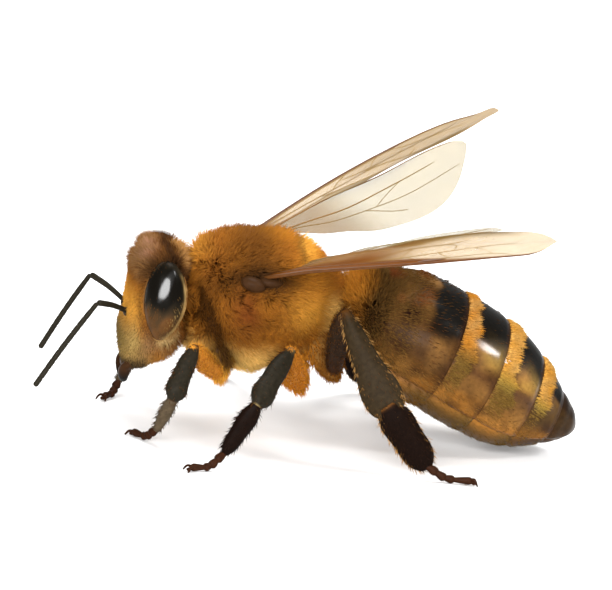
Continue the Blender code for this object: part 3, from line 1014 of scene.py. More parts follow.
@dataclass
class Skin:
    """One closed skin over head, neck, trunk and the abdomen's core, a coat's depth inside the solids."""

    depth_top: float = 0.40
    depth_side: float = 0.36
    depth_under: float = 0.22
    face_depth: float = 0.13
    chin_depth: float = 0.05
    crown_depth: float = 0.26
    cheek_depth: float = 0.10
    voxel: float = 0.065
    neck: tuple = ((-5.0, 0, 3.5), (-4.3, 0, 3.45), (-3.6, 0, 3.4))
    # Partly dark skin, partly painted shade: the skin takes the coat's markings darkened, standing in for the
    # shade deep in the fur.
    dark_skin_and_shade: float = 0.45

    def trunk(self) -> Surface:
        """The trunk's ovals, drawn in by the coat's depth, which fades towards the waist.

        Returns:
            The closed surface.
        """
        x = np.linspace(TRUNK[0, 0] + 0.22, TRUNK[-1, 0], 60)
        under, top, side = smooth(TRUNK[:, 0], TRUNK[:, 1:], x).T
        fade = 1 - 0.8 * ease(-0.9, -0.35, x)
        under, top, side = (
            under + self.depth_under * fade,
            top - self.depth_top * fade,
            side - self.depth_side * fade,
        )
        half = np.maximum((top - under) / 2, 0.2)
        return swept(rows(x, 0, (top + under) / 2), rows(0, side, 0), rows(0, 0, half), 64)

    def head(self) -> Surface:
        """The head's level ovals, drawn in by the depth of its short fur.

        Returns:
            The closed surface.
        """
        z = np.linspace(HEAD[0, 0] + 0.06, HEAD[-1, 0] - self.crown_depth * 0.8, 60)
        front, rear, side = smooth(HEAD[:, 0], HEAD[:, 1:], z).T
        inset = self.face_depth + (self.crown_depth - self.face_depth) * ease(3.9, 4.6, z)
        inset = inset - (self.face_depth - self.chin_depth) * ease(2.9, 2.4, z)
        front, rear, side = front + inset, rear - self.cheek_depth, side - self.cheek_depth
        return swept(
            rows((front + rear) / 2, 0, z), rows(0, side, 0), rows((rear - front) / 2, 0, 0), 64, 0.86
        )

    def fused(self) -> Surface:
        """Joins the closed forms into one skin by a voxel remesh, then relaxes its steps.

        Returns:
            The closed surface.
        """
        whole = Surface.joined(
            [self.trunk(), self.head(), bent_tube(self.neck, [0.6, 0.5, 0.6]), Abdomen().core()]
        )
        mesh = bpy.data.meshes.new("skin_forms")
        mesh.from_pydata(whole.points.tolist(), [], whole.quads.tolist() + whole.tris.tolist())
        obj = bpy.data.objects.new("skin_forms", mesh)
        bpy.context.scene.collection.objects.link(obj)
        remesh = obj.modifiers.new("fuse", "REMESH")
        remesh.mode = "VOXEL"
        remesh.voxel_size = self.voxel
        relax = obj.modifiers.new("relax", "SMOOTH")
        relax.factor = 0.5
        relax.iterations = 5
        made = obj.evaluated_get(bpy.context.evaluated_depsgraph_get()).to_mesh()
        points = np.empty(len(made.vertices) * 3, np.float32)
        made.vertices.foreach_get("co", points)
        sizes = np.empty(len(made.polygons), np.int32)
        made.polygons.foreach_get("loop_total", sizes)
        corners = np.empty(len(made.loops), np.int32)
        made.loops.foreach_get("vertex_index", corners)
        quads, tris = (corners[np.repeat(sizes == size, sizes)].reshape(-1, size) for size in (4, 3))
        bpy.data.objects.remove(obj)
        return Surface(points.reshape(-1, 3).astype(float), quads, tris).outward()

    @staticmethod
    def crease(surface: Surface) -> Surface:
        """Presses in the grooves before the hind lip and behind the collar, and round the feelers' sockets.

        Args:
            surface: The skin.

        Returns:
            The same surface.
        """
        points = surface.points
        x, y, z = points.T
        depth = 0.04 * bump(-1.88, 0.12, Markings.lip(points)) * ease(4.2, 4.7, z)
        depth += 0.12 * Markings.collar(points)
        depth += 0.10 * bump(-2.45, 0.5, x) * bump(4.2, 0.16, z) * ease(1.0, 1.3, np.abs(y))
        depth += 0.07 * bump(0.0, 0.16, np.abs(y) - 0.40) * bump(2.96, 0.16, z) * ease(-5.5, -5.8, x)
        depth += 0.05 * bump(0.0, 0.05, y) * ease(3.2, 3.7, z) * ease(-5.2, -5.5, x)
        surface.points = points - surface.normals() * depth[:, None]
        return surface

    def build(self) -> Surface:
        """Writes the skin and returns its surface for the coat to grow on.

        Returns:
            The surface.
        """
        surface = self.crease(self.fused())
        hidden = ease(-0.5, -0.2, surface.points[:, 0])
        # Partly dark skin, partly painted shade: the coat's markings darkened, standing in for the shade deep
        # in the fur.
        tints = painted(Markings.body(surface.points) * self.dark_skin_and_shade, (HUE.umber, hidden))
        piece("skin", surface, tints, Look.SKIN, "head", "neck", "prothorax", "mesothorax", "propodeum")
        return surface


# Abdomen


@dataclass
class Abdomen:
    """The abdomen's plates: back plates that overlap belly plates, each sliding under the one before."""

    waist: Triple = (-0.25, 0.0, 3.40)
    slope: float = 20.7 * DEG
    # Stations: place on the axis, top, underside and half width.
    stations: tuple = (
        (0.02, 0.42, -0.42, 0.42), (0.12, 0.76, -0.56, 0.76), (0.32, 1.15, -0.78, 1.15),
        (0.60, 1.44, -0.98, 1.48), (1.05, 1.68, -1.20, 1.76), (1.70, 1.84, -1.36, 1.95),
        (2.60, 1.85, -1.47, 2.03), (3.40, 1.79, -1.56, 2.03), (4.20, 1.66, -1.60, 1.95),
        (4.90, 1.46, -1.58, 1.77), (5.55, 1.13, -1.42, 1.44), (6.10, 0.77, -1.14, 1.08),
        (6.58, 0.44, -0.82, 0.74), (6.89, 0.17, -0.52, 0.42), (7.01, -0.02, -0.32, 0.18),
    )
    cuts: tuple = (0.10, 1.05, 2.72, 4.04, 5.32, 6.22, 7.01)
    black_ends: tuple = (66, 58, 52, 48, 44, 66)
    plate: float = 0.05
    back_reach: float = 122 * DEG
    belly_start: float = 108 * DEG

    def axes(self) -> tuple[Array, Array]:
        """The axis, pointing back, and its upward direction."""
        c, s = math.cos(self.slope), math.sin(self.slope)
        return np.array([c, 0.0, -s]), np.array([s, 0.0, c])

    def oval(self, s: Array, inset: Array) -> tuple[Array, Array, Array]:
        """The middle, half height and half width at s along the axis, drawn in by the inset.

        Args:
            s: Places along the axis.
            inset: How far inside the outline it lies.

        Returns:
            Middle, half height and half width.
        """
        table = np.array(self.stations)
        top, under, side = smooth(table[:, 0], table[:, 1:], s).T
        return (top + under) / 2, np.maximum((top - under) / 2 - inset, 0.01), np.maximum(side - inset, 0.01)

    def core(self) -> Surface:
        """The soft body inside the plates.

        Returns:
            The closed surface.
        """
        s = np.linspace(-0.2, 6.7, 50)
        middle, half, side = self.oval(np.clip(s, 0.02, 6.7), np.where(s < 0.5, 0.10, 0.26))
        axis, up = self.axes()
        centres = np.array(self.waist) + s[:, None] * axis + middle[:, None] * up
        return swept(centres, half[:, None] * up, rows(0, side, 0), 48)

    def plate_surface(self, start: float, end: float, turns: tuple[float, float], under: float) -> Surface:
        """One plate: hidden and lower in front, full height behind, with its hind rim turned down.

        Args:
            start: Where the plate shows from.
            end: Where it ends.
            turns: First and last turn from the back.
            under: How much lower than the outline it lies.

        Returns:
            The open surface, with values s, turn and fore (0 in front, 1 at the rim).
        """
        count, columns = 34, 72
        last = end >= self.cuts[-1]
        s = np.linspace(max(start - 0.22, 0.05), end + (0.0 if last else 0.07), count)
        s, turn = (grid.ravel() for grid in np.meshgrid(s, np.linspace(*turns, columns), indexing="ij"))
        fore = (s - start) / (end - start)
        rim = 0.0 if last else ease(0.93, 1.04, fore) * 0.03
        edge = ease(0.0, 0.10, np.minimum(turn - turns[0], turns[1] - turn))
        middle, half, side = self.oval(s, under + 0.055 * ease(0.35, -0.12, fore) + rim + 0.03 * (1 - edge))
        axis, up = self.axes()
        points = np.array(self.waist) + s[:, None] * axis + (middle + half * np.cos(turn))[:, None] * up
        points = points + rows(0, side * np.sin(turn), 0)
        values = {"s": s, "turn": turn, "fore": fore}
        return Surface(points, sheet_faces(count, columns)[:, ::-1], np.empty((0, 3), int), values)

    def back_tint(self, k: int, surface: Surface) -> Array:
        """Black plates over mottled brown sides, the first two brown, the second with a black hind part. The
        third and fourth carry a painted highlight, a lighter olive patch on their sides.

        Args:
            k: The plate's number, from 0.
            surface: The plate.

        Returns:
            A colour for each point.
        """
        points, fore, turn = surface.points, surface.values["fore"], np.abs(surface.values["turn"])
        spots = ripple(points, 0.3, 60 + k)
        brown = painted(HUE.honey, (HUE.umber, (0.55 if k < 2 else 0.3) + 0.4 * spots))
        if k == 0:
            return painted(brown, (HUE.umber, ease(50 * DEG, 80 * DEG, turn) * 0.5))
        frayed, edge, middle = fore + 0.05 * spots, self.black_ends[k] * DEG, 1 < k < 4
        side = ease(edge, edge + 0.36, turn + 0.20 * ripple(points, 0.3, 40 + k))
        # Painted highlight, partly the plates' olive tone: a lighter patch on the sides of the third and
        # fourth plates, where the gloss shines.
        olive_highlight = bump(60 * DEG, 9 * DEG, turn + 0.1 * spots) * ease(0.4, 0.7, fore)
        return painted(
            brown if k == 1 else HUE.black,
            (HUE.black, ease(0.42, 0.56, frayed) * (k == 1)),
            (HUE.honey, ease(0.36, 0.22, frayed) * (1 < k < 5)),
            (brown, side * 0.95 * (k < 5)),
            (HUE.umber, part_of(bump(86 * DEG, 20 * DEG, turn) * (0.95 + 0.5 * spots)) * 0.75 * (k == 1)),
            (HUE.back_olive_highlight, olive_highlight * 0.55 * middle),
            (HUE.back_patch, bump(76 * DEG, 13 * DEG, turn + 0.25 * spots) * 0.8 * middle),
            (HUE.back_end, ease(44 * DEG, 60 * DEG, turn) * 0.8 * (k > 3)),
            (HUE.orange, ease(96 * DEG, 118 * DEG, turn + 0.12 * spots) * 0.25 * (k < 5)),
            (HUE.umber, part_of(ripple(points, 0.18, 65) - 0.15) * side * 0.8),
            (HUE.umber, 0.35 * (k == 5)),
            (HUE.bark, ease(0.95, 1.0, fore) * 0.4),
        )

    def belly_tint(self, surface: Surface) -> Array:
        """Orange-brown belly plates, mottled, olive towards the rim and dark towards the tail.

        Args:
            surface: The plate.

        Returns:
            A colour for each point.
        """
        fore, s, turn = (surface.values[key] for key in ("fore", "s", "turn"))
        turn = np.minimum(turn, TURN - turn)
        return painted(
            HUE.honey,
            (HUE.orange, part_of(0.15 + 0.35 * ripple(surface.points, 0.5, 33))),
            (HUE.olive, ease(0.50, 0.95, fore) * 0.8),
            (HUE.umber, part_of(ripple(surface.points, 0.25, 34) - 0.1) * 0.7),
            (HUE.rose, bump(0.22, 0.12, turn - self.belly_start) * ease(3.4, 2.4, s) * 0.6),
            # Darker towards the bottom of the belly.
            (HUE.belly_bottom, ease(116 * DEG, 142 * DEG, turn) * ease(1.8, 3.2, s) * 0.75),
            (HUE.umber, ease(4.9, 6.0, s) * 0.9),
        )

    def build(self) -> Surface:
        """Builds the plates and the tail, and returns the plates' surfaces for the coat.

        Returns:
            The plates as one surface.
        """
        grown = []
        for k, (start, end) in enumerate(zip(self.cuts, self.cuts[1:])):
            back = self.plate_surface(start, end, (-self.back_reach, self.back_reach), 0.005 if k else 0.14)
            self.dress(f"back_plate_{k + 1}", back, self.back_tint(k, back), f"abdomen_segment_{k + 1}")
            turns = (self.belly_start, TURN - self.belly_start)
            belly = self.plate_surface(start, end, turns, 0.07 if k else 0.2)
            self.dress(f"belly_plate_{k + 1}", belly, self.belly_tint(belly))
            for under, plate in enumerate((back, belly)):
                flat = np.ones(len(plate.points))
                plate.values |= {"plate": flat * k, "belly": flat * under}
                grown.append(plate)
        axis, up = self.axes()
        cap = ball(np.array(self.waist) + 6.90 * axis - 0.17 * up, (0.09, 0.16, 0.13), self.slope, 14, 20)
        piece("tail_cap", cap, HUE.bark, Look.MOUTH)
        return Surface.joined(grown)

    def dress(self, name: str, surface: Surface, tints: Array, *nodes: str) -> None:
        """Writes one plate, glossy at its shoulders, and gives it its thickness inwards.

        Args:
            name: Name of the piece.
            surface: The plate.
            tints: Its colours.
            nodes: Solids that it replaces.
        """
        s, turn = surface.values["s"], surface.values["turn"]
        turn = np.abs((turn + math.pi) % TURN - math.pi)
        spots = 0.45 + 0.8 * ripple(surface.points, 0.13, 71)
        spark = bump(4.62, 0.20, s) * bump(50 * DEG, 9 * DEG, turn)
        gloss = bump(56 * DEG, 17 * DEG, turn) * part_of(spots + spark)
        gloss = gloss * (0.22 + 0.78 * ease(3.2, 3.5, s)) * ease(6.2, 5.7, s)
        wall = piece(name, surface, tints, Look.PLATE, *nodes, gloss=gloss).modifiers.new(
            "thickness", "SOLIDIFY"
        )
        wall.thickness = self.plate * MM
        wall.offset = -1.0


# Eyes and small parts of the head


@dataclass
class Face:
    """Eyes, simple eyes, face shield, lip, jaws and folded tongue."""

    eye_centre: Triple = (-5.07, 1.48, 3.66)
    eye_radii: Triple = (0.54, 0.44, 0.98)
    eye_tilt: float = -1 * DEG
    eye_lean: float = 0.12
    slant: float = 0.35
    shine: tuple[float, float] = (-5.11, 4.06)
    core: tuple[float, float] = (-5.13, 4.00)
    beads: tuple = ((-5.42, 0.0, 4.50), (-5.22, 0.24, 4.58), (-5.22, -0.24, 4.58))
    jaw_path: tuple = ((-5.50, 0.56, 1.84), (-5.76, 0.50, 1.52), (-5.79, 0.30, 1.22), (-5.74, 0.08, 1.02))
    tongue_path: tuple = ((-5.42, 0.06, 1.62), (-5.24, 0.06, 1.56), (-5.02, 0.06, 1.74), (-4.84, 0.06, 2.05))

    def build(self) -> Surface:
        """Builds every piece and returns both eyes' surfaces for their short hair.

        Returns:
            The eyes as one surface.
        """
        eyes = []
        for side, sign in SIDES.items():
            eyes.append(self.eye(side, sign))
            self.margin(side, sign)
            jaw = bent_tube(np.array(self.jaw_path) * (1, sign, 1), [0.20, 0.18, 0.14, 0.08], 36, 18, 0.7)
            tint = painted(HUE.umber, (HUE.black, ease(1.5, 1.1, jaw.points[:, 2])))
            piece(f"jaw_{side}", jaw, tint, Look.MOUTH, f"mandible_{side}")
        beads = Surface.joined([ball(spot, (0.1, 0.1, 0.1), 0, 14, 18) for spot in self.beads])
        piece("simple_eyes", beads, HUE.black, Look.EYE, gloss=np.full(len(beads.points), 0.5))
        piece("face_shield", ball((-5.80, 0.0, 2.20), (0.17, 0.56, 0.56), 4 * DEG), HUE.shield, Look.MOUTH)
        piece("lip", ball((-5.79, 0.0, 1.56), (0.10, 0.34, 0.17), 4 * DEG), HUE.umber, Look.MOUTH)
        halves = [
            bent_tube(np.array(self.tongue_path) * (1, y, 1), [0.06, 0.07, 0.06, 0.05]) for y in (-1, 1)
        ]
        piece("tongue", Surface.joined(halves), HUE.bark, Look.MOUTH, "proboscis")
        return Surface.joined(eyes)

    def eye(self, side: str, sign: float) -> Surface:
        """One compound eye, near-black with a brown lower part, a pale hind rim and one soft shine.

        Args:
            side: Its side's name.
            sign: Its side's sign on Y.

        Returns:
            Its surface.
        """
        centre = np.array(self.eye_centre) * (1, sign, 1)
        eye = ball(centre, self.eye_radii, self.eye_tilt, 56, 64)
        x, _, z = ((eye.points - centre) / self.eye_radii).T
        rim = ease(0.84, 0.94, np.hypot(x, z)) * ease(-0.1, 0.5, x) * ease(0.75, 0.45, z)
        eye.points = self.drawn_down(eye.points, sign)
        x, _, z = eye.points.T
        mixed = ripple(eye.points, 0.09, 51)
        core = np.hypot((x - self.core[0]) / 0.42, (z - self.core[1]) / 0.56) + 0.16 * mixed
        low = ease(0.95, 1.75, core) * ease(3.9, 3.1, z) * (0.75 + 0.6 * mixed)
        tint = painted(
            HUE.black,
            (HUE.eye_grey, ease(0.9, 1.4, core) * 0.35),
            (HUE.eye_low, part_of(low) * 0.8),
            (HUE.eye_rim, part_of(rim * (0.7 + 0.5 * mixed)) * 0.8),
        )
        along = z - self.shine[1]
        across = x - self.shine[0] - self.slant * along
        away = np.hypot(across / 0.125, along / 0.36)
        gloss = ease(1.25, 0.75, away) * ease(0.20, 0.10, across)
        piece(f"eye_{side}_globe", eye, tint, Look.EYE, f"eye_{side}", gloss=gloss)
        return eye

    def drawn_down(self, points: Array, sign: float) -> Array:
        """Leans an eye in at the top and draws its lower part out, narrower and a little forward.

        Args:
            points: Places on or round the eye.
            sign: Its side's sign on Y.

        Returns:
            The places after the change.
        """
        cx, _, cz = self.eye_centre
        x, y, z = points.T
        below = part_of((cz - z) / self.eye_radii[2]) ** 2
        x = cx + (x - cx) * (1 - 0.16 * below) - 0.06 * below
        return rows(x, y - sign * self.eye_lean * (z - cz), z - 0.10 * below)

    def margin(self, side: str, sign: float) -> None:
        """The narrow pale margin of an eye: arcs of its own oval behind and below, and a short one in front.

        Args:
            side: Its side's name.
            sign: Its side's sign on Y.
        """
        cx, cy, cz = self.eye_centre
        rx, _, rz = self.eye_radii
        arcs = []
        for first, last, thick in ((-112, 38, 0.018), (150, 205, 0.010)):
            turn = np.radians(np.linspace(first, last, 12))
            path = rows(cx + rx * 1.02 * np.cos(turn), sign * (cy + 0.02), cz + rz * 1.01 * np.sin(turn))
            radii = 0.008 + thick * np.sin(np.linspace(0.2, 2.9, 12))
            arcs.append(bent_tube(self.drawn_down(path, sign), radii, 60, 12))
        arc = Surface.joined(arcs)
        x, _, z = arc.points.T
        dark = part_of(0.35 + 0.9 * ripple(arc.points, 0.08, 52)) + ease(3.9, 4.3, z) + ease(cx, cx - 0.3, x)
        tint = painted(HUE.margin, (HUE.margin_dark, part_of(dark)))
        piece(f"eye_{side}_margin", arc, tint, Look.MOUTH)


@dataclass
class Feeler:
    """One feeler: a stalk with a round socket, and a whip of ten rings."""

    side: str
    base: Triple
    elbow: Triple
    tip: Triple
    stalk: float = 0.075
    whip: float = 0.074
    rings: int = 10

    def build(self) -> None:
        """Builds the stalk and the whip."""
        base, elbow, tip = (np.array(p) for p in (self.base, self.elbow, self.tip))
        socket = ball(base + unit(elbow - base) * 0.06, (0.13, 0.13, 0.13), 0, 16, 20)
        path = np.array([base, base + (elbow - base) * 0.5 + (0, 0, 0.05), elbow])
        stalk = Surface.joined([bent_tube(path, [self.stalk * 0.8, self.stalk, self.stalk * 1.12]), socket])
        piece(f"feeler_{self.side}_stalk", stalk, HUE.soot, Look.FEELER, f"antenna_{self.side}_scape")
        whip = self.ringed(elbow, tip)
        piece(f"feeler_{self.side}_whip", whip, HUE.soot, Look.FEELER, f"antenna_{self.side}_flagellum")

    def ringed(self, elbow: Array, tip: Array) -> Surface:
        """The whip: its radius dips at each joint between rings, and its end is round.

        Args:
            elbow: Where it starts.
            tip: Where it ends.

        Returns:
            The closed surface.
        """
        t = np.linspace(0, 1, 150)
        line = elbow + (tip - elbow) * t[:, None] + np.array([0.0, 0.0, 0.06]) * np.sin(t * math.pi)[:, None]
        joint = np.abs(((t * self.rings) % 1) - 0.5) * 2
        radius = self.whip * (0.86 + 0.14 * ease(0.0, 0.25, t)) * (1 - 0.17 * ease(0.86, 1.0, joint))
        radius = radius * domed(np.minimum(t, 1 - t) * np.linalg.norm(tip - elbow) / self.whip)
        along = unit(np.gradient(line, axis=0))
        side = unit(np.cross(along, [0.0, 1.0, 0.0]))
        return swept(line, side * radius[:, None], np.cross(along, side) * radius[:, None], 18)


# Legs


class Length(Enum):
    """The lengths of a leg that carry their own solid."""

    COXA = "coxa"
    FEMUR = "femur"
    TIBIA = "tibia"
    BASITARSUS = "basitarsus"
    TARSUS = "tarsus"


@dataclass
class Leg:
    """One leg, from joints root, hip, knee, ankle, heel and toe."""

    name: str
    joints: tuple
    sole: float = 0.13
    foot_joints: tuple = (0.0, 0.24, 0.44, 0.62, 0.98)
    foot_radii: tuple = (0.115, 0.11, 0.105, 0.095)

    def sizes(self) -> tuple:
        """Rows of (place, half width, half thickness) for coxa, femur, tibia and basitarsus.

        Returns:
            Four tables for limb.
        """
        if self.name.startswith("hind"):
            return (
                ((0, 0.40, 0.36), (0.6, 0.40, 0.36), (1, 0.24, 0.24)),
                ((0, 0.16, 0.16), (0.25, 0.25, 0.22), (0.6, 0.30, 0.25), (0.92, 0.22, 0.19), (1, 0.16, 0.15)),
                ((0, 0.13, 0.13), (0.12, 0.21, 0.17), (0.5, 0.36, 0.16), (0.9, 0.52, 0.15), (1, 0.46, 0.13)),
                ((0, 0.33, 0.14), (0.1, 0.41, 0.16), (0.5, 0.42, 0.16), (0.9, 0.36, 0.13), (1, 0.27, 0.10)),
            )
        grow, heel = (1.0, 0.165) if self.name.startswith("fore") else (1.1, 0.23)
        thigh, shin = (0.3, 0.23 * grow, 0.21), (0.6, 0.26 * grow, 0.18)
        return (
            ((0, 0.36 * grow, 0.34), (0.6, 0.36 * grow, 0.34), (1, 0.22, 0.22)),
            ((0, 0.14, 0.14), thigh, (0.65, 0.24 * grow, 0.21), (0.93, 0.17, 0.16), (1, 0.13, 0.13)),
            ((0, 0.13, 0.13), (0.15, 0.20 * grow, 0.17), shin, (0.92, 0.26 * grow, 0.18), (1, 0.18, 0.14)),
            (
                (0, 0.13, 0.11), (0.15, heel * 0.95, 0.14), (0.6, heel, 0.14),
                (0.93, heel * 0.7, 0.12), (1, 0.11, 0.10),
            ),
        )

    def foot(self, heel: Array, toe: Array) -> Surface:
        """Four small joints along the floor, the last one longer, with two hooked claws and a pad.

        Args:
            heel: Where it starts.
            toe: Where its last joint ends.

        Returns:
            The surface.
        """
        low = np.array([toe[0], toe[1], self.sole])
        down = heel + (low - heel) * 0.45
        down[2] = self.sole
        way = np.array([heel, heel + (down - heel) * 0.6, down, down + (low - down) * 0.55, low])
        step = steps(way)
        points = smooth(step, way, np.array(self.foot_joints) * step[-1])
        pieces = []
        for a, b, r in zip(points, points[1:], self.foot_radii):
            size = ((0.0, r * 0.62, r * 0.6), (0.7, r, r * 0.9), (1.0, r * 1.12, r))
            pieces.append(limb(a, b, size, np.array([0.3, 1.0, 0.0]), rings=16))
        end = points[-1]
        along = unit((end - points[-2]) * (1, 1, 0))
        across = np.array([-along[1], along[0], 0.0])
        for sign in (-1, 1):
            bend = end + along * 0.10 + across * sign * 0.09 + (0, 0, 0.03)
            hook = np.array([end, bend, end + along * 0.20 + across * sign * 0.15])
            hook[2, 2] = 0.035
            pieces.append(bent_tube(hook, [0.045, 0.034, 0.022], 14, 8))
        return Surface.joined(
            pieces + [ball(end + along * 0.10 - (0, 0, 0.05), (0.07, 0.07, 0.05), 0, 8, 10)]
        )

    def tint(self, length: Length, surface: Surface) -> Array:
        """Near-black legs, golden near the body, pale at the middle leg's ankle, with red-brown feet.

        Args:
            length: Which length of the leg.
            surface: Its surface.

        Returns:
            One colour, or one for each point.
        """
        along = surface.values["along"]
        hind, middle = (self.name.startswith(kind) for kind in ("hind", "mid"))
        ring = HUE.straw if middle else HUE.brown
        if length is Length.COXA:
            return painted(HUE.honey, (HUE.umber, Markings.collar(surface.points)))
        if length is Length.FEMUR:
            dark = bump(0.6, 0.35, along) * (0.6 if hind else 0.25)
            return painted(HUE.bark if hind else HUE.orange, (HUE.soot, dark))
        if length is Length.TIBIA:
            ends = np.maximum(
                ease(0.22, 0.0, along) * (0.3 if middle else 0.8), ease(0.90, 0.96, along) * 0.8
            )
            return painted(HUE.hind_shin if hind else HUE.soot, (ring, ends))
        if length is Length.BASITARSUS:
            return painted(
                HUE.pitch if hind or middle else HUE.fore_foot, (ring, ease(0.14, 0.06, along) * 0.8)
            )
        return HUE.bark

    def build(self) -> list[Surface]:
        """Builds the leg's pieces and returns their surfaces, with their kind and way, for the bristles.

        Returns:
            One surface for each length.
        """
        joints = [np.array(joint) for joint in self.joints]
        made = []
        for kind, length in enumerate(Length):
            start, end = joints[kind : kind + 2]
            if length is Length.TARSUS:
                surface, slot = self.foot(start, end), Slot.FOOT
            else:
                bow = (0.0, 0.04, -0.03, 0.0)[kind]
                surface, slot = (
                    limb(start, end, self.sizes()[kind], np.array([0.0, 1.0, 0.0]), bow), Slot.SHELL
                )
            node = f"{self.name}_{length.value}"
            piece(f"{node}_shell", surface, self.tint(length, surface), Look.LEG, node, slot=slot)
            flat = np.ones(len(surface.points))
            surface.values["kind"] = flat * kind
            for axis, value in zip("xyz", unit(end - start)):
                surface.values[f"way_{axis}"] = flat * value
            made.append(surface)
        return made


TOE = 0.21
LEGS = {
    "foreleg_left": (
        (-3.55, -0.60, 2.50), (-3.36, -0.86, 1.60), (-4.26, -2.30, 2.62),
        (-4.73, -2.90, 1.42), (-4.99, -2.35, 0.42), (-5.50, -1.78, TOE),
    ),
    "foreleg_right": (
        (-3.55, 0.60, 2.50), (-3.36, 0.86, 1.60), (-4.45, 2.25, 2.60),
        (-5.13, 2.62, 1.35), (-5.64, 2.00, 0.46), (-6.02, 1.52, TOE),
    ),
    "midleg_left": (
        (-1.80, -0.65, 2.45), (-1.28, -1.15, 1.56), (-1.89, -3.02, 2.94),
        (-2.74, -4.30, 1.84), (-3.41, -4.28, 0.49), (-4.25, -4.62, TOE),
    ),
    "midleg_right": (
        (-1.80, 0.65, 2.45), (-1.28, 1.15, 1.56), (-1.70, 3.05, 2.90),
        (-2.10, 4.45, 1.84), (-2.38, 4.72, 0.48), (-2.88, 5.39, TOE),
    ),
    "hindleg_left": (
        (-1.00, -0.65, 2.95), (-0.50, -1.50, 2.08), (-0.58, -2.95, 4.08),
        (0.74, -3.70, 1.82), (1.86, -3.62, 0.42), (3.08, -3.72, TOE),
    ),
    "hindleg_right": (
        (-1.00, 0.65, 2.95), (-0.50, 1.50, 2.08), (-0.48, 2.95, 3.90),
        (0.52, 4.00, 1.66), (1.32, 4.45, 0.42), (2.28, 5.12, TOE),
    ),
}


# Wings


@dataclass(frozen=True)
class WingLie:
    """How a side's wings lie: base, angles of swing, rise, tilt and fold, then arch, lift and haze."""

    base: Triple
    swing: float
    rise: float
    tilt: float
    fold: float
    arch: float
    raised: float
    haze: float


WING_LIES = {
    "left": WingLie((-2.80, -1.50, 4.39), 35.2 * DEG, 17.3 * DEG, 7 * DEG, 8 * DEG, 0.08, 0.08, 0.0),
    "right": WingLie((-2.98, 1.50, 4.62), 30.6 * DEG, 22.7 * DEG, 20 * DEG, 40 * DEG, 0.18, 0.0, 1.0),
}


